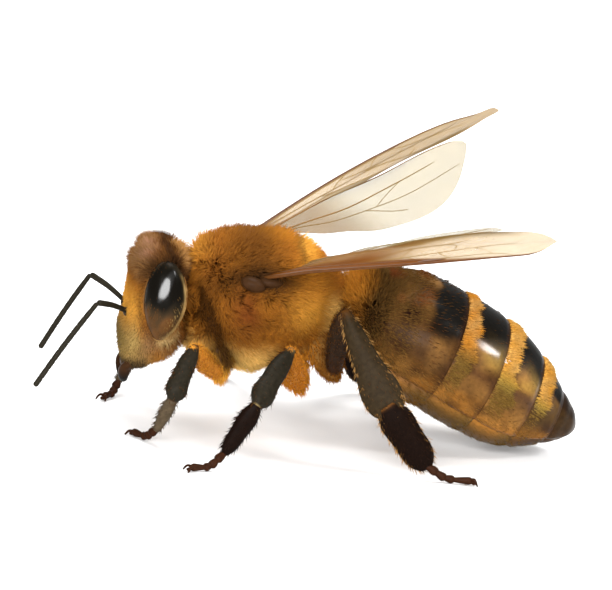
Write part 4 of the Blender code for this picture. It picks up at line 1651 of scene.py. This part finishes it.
@dataclass
class Wings:
    """Both wings of one side: a thin membrane with raised veins, and the scale and knuckle at the base.

    Outlines and veins are in the wing's plane: u along the span, v from the leading edge back.
    """

    side: str
    lie: WingLie
    hooks: tuple = ((0.60, 0.72), (6.20, 2.36))
    wall: float = 0.028
    # Rows of u, leading edge and trailing edge.
    fore_rows: tuple = (
        (0.00, 0.10, 0.58), (0.20, 0.06, 0.58), (1.00, -0.12, 0.78),
        (2.20, -0.30, 1.36), (3.50, -0.48, 1.86), (4.85, -0.61, 2.14),
        (6.00, -0.67, 2.16), (7.10, -0.63, 1.84), (7.75, -0.49, 1.46),
        (8.16, -0.25, 1.10), (8.40, 0.04, 0.76), (8.47, 0.22, 0.54),
    )
    hind_rows: tuple = (
        (0.57, 0.72, 1.01), (1.10, 0.84, 1.56), (1.70, 1.02, 2.28), (2.40, 1.24, 3.00), (3.20, 1.50, 3.54),
        (4.00, 1.74, 3.70), (4.90, 1.98, 3.46), (5.45, 2.14, 3.10), (5.84, 2.28, 2.78), (6.02, 2.44, 2.60),
    )
    # Each vein's route through (u, v).
    fore_veins: tuple = (
        ((0.0, 0.30), (1.5, 0.05), (3.2, -0.18), (4.9, -0.38), (5.6, -0.40)),
        ((0.0, 0.38), (1.2, 0.42), (2.4, 0.46), (3.4, 0.62), (4.2, 0.98), (4.9, 1.34), (5.5, 1.62)),
        ((0.3, 0.50), (1.5, 0.86), (2.7, 1.24), (3.6, 1.52), (4.2, 1.66)),
        ((2.9, 0.54), (3.2, 0.26), (3.6, -0.02), (3.9, -0.24)),
        ((3.45, 0.10), (4.1, 0.30), (4.8, 0.42), (5.7, 0.52), (6.6, 0.66), (7.3, 0.86)),
        ((5.4, -0.44), (5.8, -0.14), (6.4, 0.04), (7.0, 0.04), (7.5, -0.14), (7.8, -0.40)),
        ((4.35, 0.34), (4.6, 0.02), (5.0, -0.30)),
        ((5.15, 0.46), (5.5, 0.16), (5.75, -0.14)),
        ((6.15, 0.58), (6.6, 0.32), (6.9, 0.07)),
        ((4.1, 0.30), (4.15, 0.66), (4.2, 0.98)),
        ((5.6, 0.52), (5.45, 0.98), (5.0, 1.36)),
        ((2.55, 0.50), (2.55, 0.86), (2.6, 1.20)),
    )
    hind_veins: tuple = (
        ((0.7, 0.98), (1.6, 1.45), (2.8, 1.95), (4.0, 2.28), (5.0, 2.44)),
        ((0.8, 1.08), (1.8, 1.80), (2.8, 2.38), (3.8, 2.72), (4.8, 2.92), (5.4, 3.02)),
        ((2.6, 2.28), (3.0, 2.72), (3.4, 3.12)),
        ((2.9, 2.42), (3.4, 2.32), (3.9, 2.26)),
    )
    fore_radii: Triple = (0.055, 0.034, 0.019)
    hind_radii: Triple = (0.022, 0.022, 0.014)
    mark: tuple[float, float] = (5.45, -0.48)

    def axes(self) -> tuple[Array, Array, Array]:
        """Span, chord and upward normal.

        Returns:
            Three unit vectors.
        """
        lie = self.lie
        flip = np.array([1.0, SIDES[self.side], 1.0])
        level = np.array([math.cos(lie.swing), math.sin(lie.swing), 0.0]) * flip
        span = level * math.cos(lie.rise) + np.array([0, 0, math.sin(lie.rise)])
        chord = np.array([math.sin(lie.swing), -math.cos(lie.swing), 0.0]) * flip
        normal = np.cross(span, chord)
        normal = normal * math.copysign(1.0, normal[2])
        c, s = math.cos(lie.tilt), math.sin(lie.tilt)
        return span, chord * c + normal * s, normal * c - chord * s

    def lift(self, u: Array, v: Array, hind: bool, above: Array = 0.0) -> Array:
        """Points of the wing plane in the bee's frame.

        The membrane's height is an arch along the span and shallow pleats across it. The hind wing is
        folded about the line of its hooks.

        Args:
            u: Places along the span.
            v: Places across it.
            hind: Whether they lie on the hind wing.
            above: How far they stand above the membrane.

        Returns:
            The points.
        """
        lie = self.lie
        arch = lie.arch * np.sin(part_of(u / 8.52) * math.pi)
        w = arch + lie.raised * ease(0.2, 1.8, u) + 0.03 * np.sin(v * 5.2 + u * 0.7) + above
        u, v, w = (a.ravel() for a in (u, v, w))
        if hind:
            (u0, v0), (u1, v1) = self.hooks
            along = unit(np.array([u1 - u0, v1 - v0]))
            back = np.array([-along[1], along[0]])
            reach, depth = (np.stack([u - u0, v - v0], -1) @ axis for axis in (along, back))
            c, s = math.cos(lie.fold), math.sin(lie.fold)
            depth, w = depth * c + w * s, w * c - depth * s
            u = u0 + reach * along[0] + depth * back[0]
            v = v0 + reach * along[1] + depth * back[1]
        span, chord, normal = self.axes()
        return np.array(lie.base) + u[:, None] * span + v[:, None] * chord + w[:, None] * normal

    def membrane(self, hind: bool) -> Surface:
        """The sheet between the leading and the trailing edge, closed by a second sheet below it.

        Args:
            hind: Whether it is the hind wing.

        Returns:
            The closed surface, with values u and t (0 at the leading edge, 1 at the trailing edge).
        """
        table = np.array(self.hind_rows if hind else self.fore_rows)
        count, columns = 110, 40
        turn = (1 - np.cos(np.linspace(0.0, math.pi, count))) / 2
        u = table[0, 0] + (table[-1, 0] - table[0, 0]) * turn
        front, back = smooth(table[:, 0], table[:, 1:], u).T
        t = np.linspace(0, 1, columns)
        v = front[:, None] + (back - front)[:, None] * t
        u = np.repeat(u[:, None], columns, axis=1)
        edge = (
            np.minimum(np.minimum(t, 1 - t)[None] * 8, 1)
            * np.minimum(1, np.sin(turn * math.pi) * 6)[:, None]
        )
        wall = self.wall / 2 * (0.15 + 0.85 * edge)
        points = np.concatenate([self.lift(u, v, hind, wall), self.lift(u, v, hind, -wall)])
        n = count * columns
        faces = sheet_faces(count, columns)
        first, last = np.arange(columns - 1), np.arange(columns - 1, n - 1, columns)
        around = np.r_[first, last, np.arange(n - 1, n - columns, -1), np.arange(n - columns, 0, -columns)]
        after = np.roll(around, -1)
        quads = np.concatenate(
            [faces, faces[:, ::-1] + n, np.stack([around, around + n, after + n, after], -1)]
        )
        values = {"u": np.tile(u.ravel(), 2), "t": np.tile(t, 2 * count)}
        return Surface(points, quads, np.empty((0, 3), int), values).outward()

    def veins(self, hind: bool) -> Surface:
        """Round ribs along the veins, thickest near the base and on the leading edge.

        Args:
            hind: Whether it is the hind wing.

        Returns:
            The surface.
        """
        lead = np.array(self.hind_rows if hind else self.fore_rows)[:-1, :2]
        edge, first, other = self.hind_radii if hind else self.fore_radii
        inner = self.hind_veins if hind else self.fore_veins
        span, chord, normal = self.axes()
        made = []
        for route, radius in zip((lead, *inner), (edge, first) + (other,) * len(inner)):
            step = steps(route)
            u, v = smooth(step, route, np.linspace(0, step[-1], 40)).T
            line = self.lift(u, v, hind)
            k = np.arange(40)
            thin = radius * (1 - 0.70 * part_of(u / 8.6)) * np.minimum(1, 0.3 + np.minimum(k, 39 - k) / 3)
            along = unit(np.gradient(line, axis=0))
            side = unit(np.cross(along, normal))
            made.append(swept(line, side * thin[:, None], np.cross(along, side) * thin[:, None], 8))
        if not hind:
            spot = self.lift(*np.array(self.mark)[:, None], False)
            dome = np.sqrt(np.clip(1 - np.linspace(-1, 1, 15) ** 2, 0.01, 1))[:, None]
            line = spot + span * np.linspace(-0.42, 0.42, 15)[:, None]
            made.append(swept(line, chord * (0.09 * dome), normal * (0.03 * dome), 12))
        return Surface.joined(made)

    def film(self, sheet: Surface, hind: bool) -> tuple[Array, Array]:
        """The membrane's colour and how much it covers: darkest at the root and the leading edge.

        Args:
            sheet: The membrane.
            hind: Whether it is the hind wing's.

        Returns:
            A colour and a veil value for each point.
        """
        t, u = sheet.values["t"], sheet.values["u"]
        if hind:
            root = ease(3.0, 1.6, u)
            return painted(HUE.hind_wing, (HUE.hind_root, root * 0.5)), np.clip(0.46 + 0.20 * root, 0.2, 0.97)
        haze = self.lie.haze
        strip = ease(0.30, 0.14, t + 0.16 * ease(4.2, 6.5, u) + 0.12 * haze) * ease(8.8, 6.4, u)
        hem = ease(0.78, 0.95, t) * ease(1.5, 3.0, u) * ease(7.4, 6.0, u)
        root = ease(4.7, 2.9, u + 3.0 * haze + 0.25 * ripple(sheet.points, 0.8, 44))
        dark = np.maximum(strip, root * (1 - 0.28 * ease(0.40, 0.80, t)))
        haze = haze * ease(2.5, 5.0, u)
        tint = painted(
            HUE.wing,
            (HUE.wing_end, ease(5.0, 7.5, u) * (1 - haze)),
            (HUE.wing_haze, haze * 0.7),
            (HUE.wing_hem, hem * 0.8),
            (HUE.wing_root, dark),
        )
        return tint, np.clip(0.56 + 0.42 * dark + 0.22 * hem + 0.10 * haze, 0.2, 0.97)

    def build(self) -> None:
        """Builds both wings."""
        for hind, kind in enumerate(("forewing", "hindwing")):
            name = f"{kind}_{self.side}"
            sheet = self.membrane(hind)
            tint, veil = self.film(sheet, hind)
            piece(f"{name}_membrane", sheet, tint, Look.MEMBRANE, name, veil=veil)
            piece(f"{name}_veins", self.veins(hind), HUE.hind_vein if hind else HUE.fore_vein, Look.VEIN)

    def base(self) -> None:
        """Builds the scale over the fore wing's base and the dark knuckle that the wing turns on."""
        sign = SIDES[self.side]
        scale = ball((-2.86, 1.70 * sign, 4.30), (0.34, 0.24, 0.19), 15 * DEG, 28, 32)
        knuckle = ball((-2.42, 1.60 * sign, 4.37), (0.34, 0.19, 0.15), 0, 20, 24)
        piece(f"wing_scale_{self.side}", scale, HUE.umber, Look.MOUTH, f"tegula_{self.side}")
        piece(f"wing_knuckle_{self.side}", knuckle, HUE.umber, Look.MOUTH)


# Coats of each region


class TrunkCoat(Coat):
    """Dense fur of the trunk, standing out and leaning back a little."""

    def thickness(self, roots: Roots) -> Array:
        """Full on the trunk, thin on the collar band, none on the abdomen's core or the waist.

        Args:
            roots: Where the tufts grow.

        Returns:
            A density for each root.
        """
        x, y, z = roots.points.T
        on = ease(-4.42, -4.30, x) * ease(-0.30, -0.5, x)
        neck = ease(1.0, 0.4, np.hypot(y, z - 3.45)) * ease(-4.0, -4.2, x)
        return on * (1 - 0.5 * Markings.collar(roots.points)) * (1 - neck)

    def length(self, roots: Roots) -> Array:
        """As long as the coat is deep: longer on top and behind, shorter on the collar band and below.

        Args:
            roots: Where the tufts grow.

        Returns:
            A length in millimetres for each root.
        """
        points = roots.points
        x, _, z = points.T
        length = 0.40 + 0.12 * ease(3.6, 4.8, z) - 0.06 * ease(2.6, 1.9, z)
        length = (
            length
            + 0.10 * bump(-1.7, 0.35, x) * ease(4.5, 4.9, z)
            + 0.12 * bump(-2.75, 0.3, x) * ease(2.3, 1.9, z)
        )
        length = (
            length
            + 0.10 * ease(-3.7, -4.05, x) * ease(4.4, 4.7, z)
            + 0.10 * bump(-0.9, 0.3, x) * ease(3.0, 2.5, z)
        )
        length = length * (1 - 0.45 * ease(-1.0, -0.4, x) * ease(4.3, 3.9, z)) + 0.12 * ease(-3.9, -4.2, x)
        lip = 0.3 * bump(-1.86, 0.12, Markings.lip(points)) * ease(4.3, 4.7, z)
        return (
            length
            * (1 - 0.55 * np.maximum(Markings.collar(points), lip))
            * (1 + 0.15 * ripple(points, 0.35, 5))
        )

    def comb(self, roots: Roots) -> Array:
        """Back along the trunk and down its sides, with soft swirls and small locks."""
        swirl, locks = ripples(roots.points, 0.6, 11), ripples(roots.points, 0.11, 14)
        return np.array([0.9, 0.0, -0.45]) + swirl * 0.5 + locks * 0.6

    def lean(self, roots: Roots) -> Array:
        """Upright on top, more laid down on the sides."""
        return 0.45 + 0.30 * ease(4.6, 3.4, roots.points[:, 2])

    def tint(self, roots: Roots) -> Array:
        """The trunk's own markings."""
        return Markings.trunk(roots.points)


class HeadCoat(Coat):
    """Short fur of the head: erect on the crown, laid down the face, a beard behind the cheeks."""

    @staticmethod
    def cheek(x: Array, z: Array) -> Array:
        """1 low behind the eyes."""
        return ease(-5.2, -4.8, x) * ease(3.3, 2.7, z)

    def thickness(self, roots: Roots) -> Array:
        """Dense on crown, brow and cheeks, thin on the lower face, none on the neck or under the eyes.

        Args:
            roots: Where the tufts grow.

        Returns:
            A density for each root.
        """
        x, y, z = roots.points.T
        on = ease(-4.36, -4.46, x) * ease(1.45, 1.7, z)
        middle = ease(0.75, 0.35, np.hypot(y, (z - 2.2) * 0.9)) * ease(-5.4, -5.7, x)
        neck = ease(0.9, 0.5, np.hypot(y, z - 3.5)) * ease(-4.9, -4.6, x)
        return on * (1 - 0.8 * middle) * (1 - neck)

    def length(self, roots: Roots) -> Array:
        """Long on the crown and behind the cheeks, short on the face, shortest round the eyes.

        Args:
            roots: Where the tufts grow.

        Returns:
            A length in millimetres for each root.
        """
        x, _, z = roots.points.T
        length = 0.17 + 0.22 * ease(3.9, 4.5, z) - 0.05 * ease(2.6, 1.8, z)
        length = length + 0.08 * ease(-5.3, -5.6, x) * ease(3.9, 4.3, z)
        length = length + 0.28 * self.cheek(x, z)
        return length * (1 - 0.35 * Markings.eye_rim(roots.points) * ease(4.3, 3.9, z))

    def comb(self, roots: Roots) -> Array:
        """Forward and up on the crown, down the face, down and back at the cheeks.

        Args:
            roots: Where the tufts grow.

        Returns:
            A direction for each root.
        """
        x, _, z = roots.points.T
        crown, rear = ease(4.0, 4.5, z)[:, None], ease(-5.1, -4.7, x)[:, None]
        down = np.array([-0.15, 0.0, -1.0]) * (1 - crown) * (1 - rear)
        up, back = np.array([-0.6, 0.0, 0.6]) * crown, np.array([0.5, 0.0, -0.8]) * rear
        return down + up + back + ripples(roots.points, 0.15, 24) * 0.35

    def lean(self, roots: Roots) -> Array:
        """Upright on the crown and behind the cheeks, half laid on the face."""
        x, _, z = roots.points.T
        return 0.95 - 0.65 * ease(3.8, 4.5, z) - 0.45 * self.cheek(x, z)

    def tint(self, roots: Roots) -> Array:
        """The head's own markings."""
        return Markings.head(roots.points)


class EyeCoat(Coat):
    """Fine short hair of the compound eyes, thickest on their lower part."""

    def thickness(self, roots: Roots) -> Array:
        """Sparse over the top, thicker on the lower and hind part, none where the eye shines.

        Args:
            roots: Where the tufts grow.

        Returns:
            A density for each root.
        """
        x, _, z = roots.points.T
        bare = bump(0.0, 0.45, np.hypot((x + 5.11) * 1.8, z - 4.06))
        rear = ease(-5.0, -4.7, x + 0.2 * (z - 3.4)) * ease(4.0, 3.6, z)
        return (0.10 + ease(3.65, 3.2, z + 0.25 * (x + 5.07)) + 1.5 * rear) * (1 - bare)

    def length(self, roots: Roots) -> Array:
        """The same everywhere."""
        return 0.13

    def comb(self, roots: Roots) -> Array:
        """Down."""
        return np.broadcast_to((0.1, 0.0, -1.0), roots.points.shape)

    def lean(self, roots: Roots) -> Array:
        """Nearly flat."""
        return 1.15

    def tint(self, roots: Roots) -> Array:
        """Brown in front, turning golden towards the hind and lower edge.

        Args:
            roots: Where the tufts grow.

        Returns:
            A colour for each root.
        """
        x, _, z = roots.points.T
        rear = ease(-5.1, -4.75, x - 0.3 * (z - 3.3)) * 0.9
        return painted(
            HUE.brown, (HUE.tan, rear), (HUE.umber, part_of(0.2 + 0.6 * ripple(roots.points, 0.12, 61)))
        )


class AbdomenCoat(Coat):
    """Hair of the abdomen: shaggy in front, flat pale bands, scattered bristles and belly fringes."""

    def band(self, roots: Roots) -> Array:
        """1 on the flat hair bands of the third to fifth plates, wider and thinner down the sides.

        Args:
            roots: Where the tufts grow.

        Returns:
            One value for each root.
        """
        fore, plate, turn, belly = roots.read("fore", "plate", "turn", "belly")
        turn = np.abs(turn)
        down = ease(50 * DEG, 80 * DEG, turn)
        ragged = (0.07 + 0.10 * down) * ripple(roots.points, 0.12, 21)
        on = (plate > 1.5) & (plate < 4.5) & (belly < 0.5)
        fade = 1 - 0.8 * ease(80 * DEG, 108 * DEG, turn + 0.3 * (plate > 3.5))
        width = 0.22 + 0.06 * (plate > 2.5) + 0.14 * (plate > 3.5) + 0.12 * down * (plate < 3.5)
        return ease(-0.02, 0.05, fore) * ease(0.05, -0.04, fore + ragged - width) * fade * on

    def thickness(self, roots: Roots) -> Array:
        """Dense on the first plate and the bands, thin elsewhere, none on the black of the second.

        Args:
            roots: Where the tufts grow.

        Returns:
            A density for each root.
        """
        fore, plate, s, turn, belly = roots.read("fore", "plate", "s", "turn", "belly")
        hind = 0.05 + 0.75 * ease(1.85, 1.40, s + 0.12 * ripple(roots.points, 0.3, 8))
        shaggy = 1.5 * (plate < 0.5) + (plate > 0.5) * (plate < 1.5) * hind
        fringe = belly * (0.10 + 0.45 * bump(0.9, 0.1, fore))
        seam = 0.5 * bump(112 * DEG, 9 * DEG, np.abs(turn)) * (1 - belly)
        shown = (fore > -0.03) & (fore < 1.0) & (s < 6.75)
        return ((shaggy * (1 - belly) + self.band(roots) * 2.6 + 0.025) + fringe + seam) * shown

    def length(self, roots: Roots) -> Array:
        """Long in front, short and flat in the bands and towards the tail.

        Args:
            roots: Where the tufts grow.

        Returns:
            A length in millimetres for each root.
        """
        plate, s, turn, belly = roots.read("plate", "s", "turn", "belly")
        length = (
            np.where(plate < 0.5, 0.32, np.where(plate < 1.5, 0.20, 0.15)) * (1 - 0.4 * ease(5.6, 6.6, s))
        )
        front = ease(0.62, 0.3, s) * ease(85 * DEG, 60 * DEG, np.abs(turn))
        length = length + 0.43 * front * (1 - belly)
        return np.where(self.band(roots) > 0.2, 0.23, length) * (1 + 0.1 * belly)

    def comb(self, roots: Roots) -> Array:
        """Back along the abdomen."""
        return np.broadcast_to((0.93, 0.0, -0.36), roots.points.shape)

    def lean(self, roots: Roots) -> Array:
        """Half laid in front, flat in the bands.

        Args:
            roots: Where the tufts grow.

        Returns:
            An angle for each root.
        """
        plate, s = roots.read("plate", "s")
        front = 0.75 - 0.5 * ease(0.7, 0.35, s)
        return np.where(self.band(roots) > 0.2, 1.18, np.where(plate < 0.5, front, 1.2))

    def tint(self, roots: Roots) -> Array:
        """Orange in front, brown on the second plate, gold bands that turn olive below, dark bristles.

        Args:
            roots: Where the tufts grow.

        Returns:
            A colour for each root.
        """
        points = roots.points
        plate, s, turn, belly = roots.read("plate", "s", "turn", "belly")
        turn = np.abs(turn)
        gold = (self.band(roots) > 0.12).astype(float)
        down = ease(56 * DEG, 80 * DEG, turn)
        low = painted(HUE.band_low, (HUE.band_olive, (plate > 2.5) * ease(1.5, 1.2, turn)))
        # Darker towards the bottom of the belly.
        belly_bottom = ease(112 * DEG, 138 * DEG, np.minimum(turn, TURN - turn)) * ease(1.8, 3.2, s)
        spot = np.linalg.norm((np.abs(points) - (0.95, 1.35, 4.22)) / (0.16, 0.3, 0.2), axis=1)
        return painted(
            HUE.orange,
            (HUE.gold, ease(0.6, 0.3, s) * 0.15),
            (HUE.brown, ease(48 * DEG, 78 * DEG, turn) * 0.75),
            (HUE.waist_hair, ease(0.22, 0.58, s + 0.15 * ripple(points, 0.5, 31))),
            (HUE.rust, part_of(ripple(points, 0.25, 32) - 0.1) * 0.9 * (s > 0.6)),
            (HUE.umber, ease(1.5, 2.1, s) * 0.75),
            (HUE.orange, gold * 0.9),
            (HUE.band, gold * (0.30 + 0.6 * (plate > 2.5))),
            (HUE.band_pale, gold * (0.25 + 0.25 * ripple(points, 0.15, 35)) * (1 - down)),
            (low, gold * down * 0.95),
            (HUE.honey, belly * 0.8),
            (HUE.belly_bottom_hair, belly * belly_bottom * 0.8),
            (HUE.copper, ease(1.3, 0.6, spot) * 0.8),
            (HUE.honey, bump(112 * DEG, 12 * DEG, turn) * (s > 1.4) * 0.9),
            (HUE.umber, (plate > 4.5) * 0.6),
        )


class LegCoat(Coat):
    """Bristles of the legs: long pale hair on the coxae, short dark bristles and pale fringes."""

    @staticmethod
    def fringe(roots: Roots) -> tuple[Array, Array]:
        """The kind of length, and a value that is 1 on its front and hind edge."""
        kind, angle = roots.read("kind", "angle")
        return kind, np.abs(np.cos(angle)) ** 6

    @staticmethod
    def by_kind(kind: Array, *values: float) -> Array:
        """A value for each kind, from coxa to tarsus."""
        return np.array(values)[np.rint(kind).astype(int)]

    def thickness(self, roots: Roots) -> Array:
        """Dense on the coxae and on the edges of the hind legs.

        Args:
            roots: Where the tufts grow.

        Returns:
            A density for each root.
        """
        kind, edge = self.fringe(roots)
        base = self.by_kind(kind, 2.2, 2.2, 0.22, 0.40, 0.2)
        base = base * np.where((kind > 0.5) & (kind < 1.5) & (roots.points[:, 0] > -1.2), 0.45, 1.0)
        return base * (1 + 2.5 * edge * (kind > 1.5) * (kind < 3.5))

    def length(self, roots: Roots) -> Array:
        """Longest on the coxae, then the fringes, shortest on the feet.

        Args:
            roots: Where the tufts grow.

        Returns:
            A length in millimetres for each root.
        """
        kind, edge = self.fringe(roots)
        return (
            self.by_kind(kind, 0.26, 0.19, 0.13, 0.13, 0.09)
            * (1 + 0.7 * edge * (kind > 1.5) * (kind < 3.5))
        )

    def comb(self, roots: Roots) -> Array:
        """Down along each limb."""
        return np.stack(roots.read("way_x", "way_y", "way_z"), -1)

    def lean(self, roots: Roots) -> Array:
        """Half laid."""
        return 1.0

    def tint(self, roots: Roots) -> Array:
        """Gold near the body in front, brown behind, dark beyond, straw in the hind fringes.

        Args:
            roots: Where the tufts grow.

        Returns:
            A colour for each root.
        """
        x = roots.points[:, 0]
        kind, edge = self.fringe(roots)
        edge = edge * (x > -1.0)
        fore, rear, near = ease(-2.4, -3.0, x), ease(-1.2, -0.8, x), kind < 1.5
        return painted(
            HUE.orange,
            (HUE.gold, (kind < 0.5) * fore * 0.8),
            (HUE.gold, near * fore * 0.5),
            (HUE.umber, near * Markings.collar(roots.points) * 0.95),
            (HUE.brown, near * rear * 0.85),
            (HUE.umber, (kind > 0.5) * near * rear * 0.7),
            (HUE.umber, (kind > 1.5) * (0.95 - 0.55 * edge)),
            (HUE.horn, (kind > 1.5) * edge * 0.5),
            (HUE.bristle, (kind > 2.5) * (1 - edge)),
            (HUE.fore_foot, (kind > 2.5) * (kind < 3.5) * (x < -4.5) * 0.9),
        )


# Scene


@dataclass
class Studio:
    """Pale floor, soft lights, and the camera at the model's set angle."""

    azimuth: float = -8 * DEG
    elevation: float = 14 * DEG
    roll: float = 7 * DEG
    distance: float = 150.0
    aim: Triple = (-1.24, 0.0, 3.72)
    seen_width: float = 15.95
    sensor: float = 36.0
    lit: Triple = (-0.5, 0.0, 2.5)
    # Name, place in metres from the bee's middle, size in metres and power in watts.
    lights: tuple = (
        ("window", (-0.030, -0.152, 0.062), (0.15, 0.10), 0.52),
        ("overhead", (0.03, 0.03, 0.17), (0.09, 0.09), 0.30),
        ("back", (-0.06, 0.14, 0.09), (0.06, 0.06), 0.12),
        ("side", (0.106, -0.044, 0.108), (0.032, 0.032), 0.10),
    )

    def build(self) -> None:
        """Sets the floor, the lights and the camera, and shows plain colours."""
        settings = bpy.context.scene.view_settings
        settings.view_transform = "Standard"
        settings.look = "None"
        self.floor()
        self.light()
        self.camera()

    def floor(self) -> None:
        """A plain pale floor."""
        bpy.ops.mesh.primitive_plane_add(size=1.2)
        floor = bpy.context.object
        floor.name = "floor"
        material = bpy.data.materials.new("floor")
        material.use_nodes = True
        shader = material.node_tree.nodes["Principled BSDF"]
        shader.inputs["Base Color"].default_value = (0.9, 0.9, 0.9, 1)
        shader.inputs["Roughness"].default_value = 0.9
        floor.data.materials.append(material)

    def light(self) -> None:
        """A large key light above the face side, a fill, a light from behind and a bright room."""
        world = bpy.data.worlds.new("studio")
        world.use_nodes = True
        room = world.node_tree.nodes["Background"]
        room.inputs["Color"].default_value = (1, 1, 1, 1)
        room.inputs["Strength"].default_value = 0.55
        bpy.context.scene.world = world
        for name, place, size, power in self.lights:
            light = bpy.data.lights.new(name, "AREA")
            light.shape = "RECTANGLE"
            light.size, light.size_y = size
            light.energy = power
            obj = bpy.data.objects.new(name, light)
            bpy.context.scene.collection.objects.link(obj)
            obj.location = np.array(place) + BEE.to_row((0, 0, 0))
            away = Vector(unit(np.array(place) + BEE.to_row((0, 0, 0)) - BEE.to_row(self.lit)))
            obj.rotation_euler = away.to_track_quat("Z", "Y").to_euler()

    def camera(self) -> None:
        """A long lens that looks along the set direction, rolled with it."""
        c, s = math.cos(self.elevation), math.sin(self.elevation)
        back = np.array([math.sin(self.azimuth) * c, -math.cos(self.azimuth) * c, s])
        lens = bpy.data.cameras.new("camera")
        lens.sensor_width = self.sensor
        lens.lens = self.sensor * self.distance / self.seen_width
        lens.clip_start = 0.005
        lens.clip_end = 5.0
        obj = bpy.data.objects.new("camera", lens)
        bpy.context.scene.collection.objects.link(obj)
        right = np.array([math.cos(self.azimuth), math.sin(self.azimuth), 0.0])
        rise = np.cross(back, right)
        c, s = math.cos(self.roll), math.sin(self.roll)
        matrix = np.eye(4)
        matrix[:3, :3] = np.stack([right * c + rise * s, rise * c - right * s, back], -1)
        matrix[:3, 3] = BEE.to_row(np.array(self.aim) + back * self.distance)
        obj.matrix_world = Matrix(matrix.tolist())
        bpy.context.scene.camera = obj


def main() -> None:
    """Builds the whole model and its studio."""
    logging.basicConfig(level=logging.INFO, format="%(name)s: %(message)s")
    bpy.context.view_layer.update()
    skin = Skin().build()
    plates = Abdomen().build()
    eyes = Face().build()
    Feeler("left", (-5.83, -0.40, 2.95), (-6.77, -1.30, 3.36), (-8.20, -1.78, 1.12)).build()
    Feeler("right", (-5.83, 0.40, 2.98), (-6.77, 1.32, 3.44), (-7.84, 1.78, 1.20)).build()
    limbs = Surface.joined(
        [surface for name, joints in LEGS.items() for surface in Leg(name, joints).build()]
    )
    wings = [Wings(side, lie) for side, lie in WING_LIES.items()]
    for pair in wings:
        pair.build()
    for pair in wings:
        pair.base()
    x_axis = (1.0, 0.0, 0.0)
    TrunkCoat("trunk_coat", 101, 66_400, 0.017, 0.35, 0.16, (-2.4, 0.0, 3.4), x_axis).grow(skin)
    HeadCoat("head_coat", 102, 26_000, 0.013, 0.25, 0.2, (-5.2, 0.0, 3.2)).grow(skin)
    EyeCoat("eye_coat", 105, 1_600, 0.009, 0.2, 0.15, (-5.07, 0.0, 3.66)).grow(eyes)
    AbdomenCoat(
        "abdomen_coat", 103, 30_000, 0.013, 0.2, 0.12, (2.6, 0.0, 2.3), (0.935, 0.0, -0.354)
    ).grow(plates)
    LegCoat("leg_coat", 104, 25_000, 0.012, 0.15, 0.16, (-1.2, 0.0, 1.6)).grow(limbs)
    Studio().build()


if __name__ == "__main__":
    main()
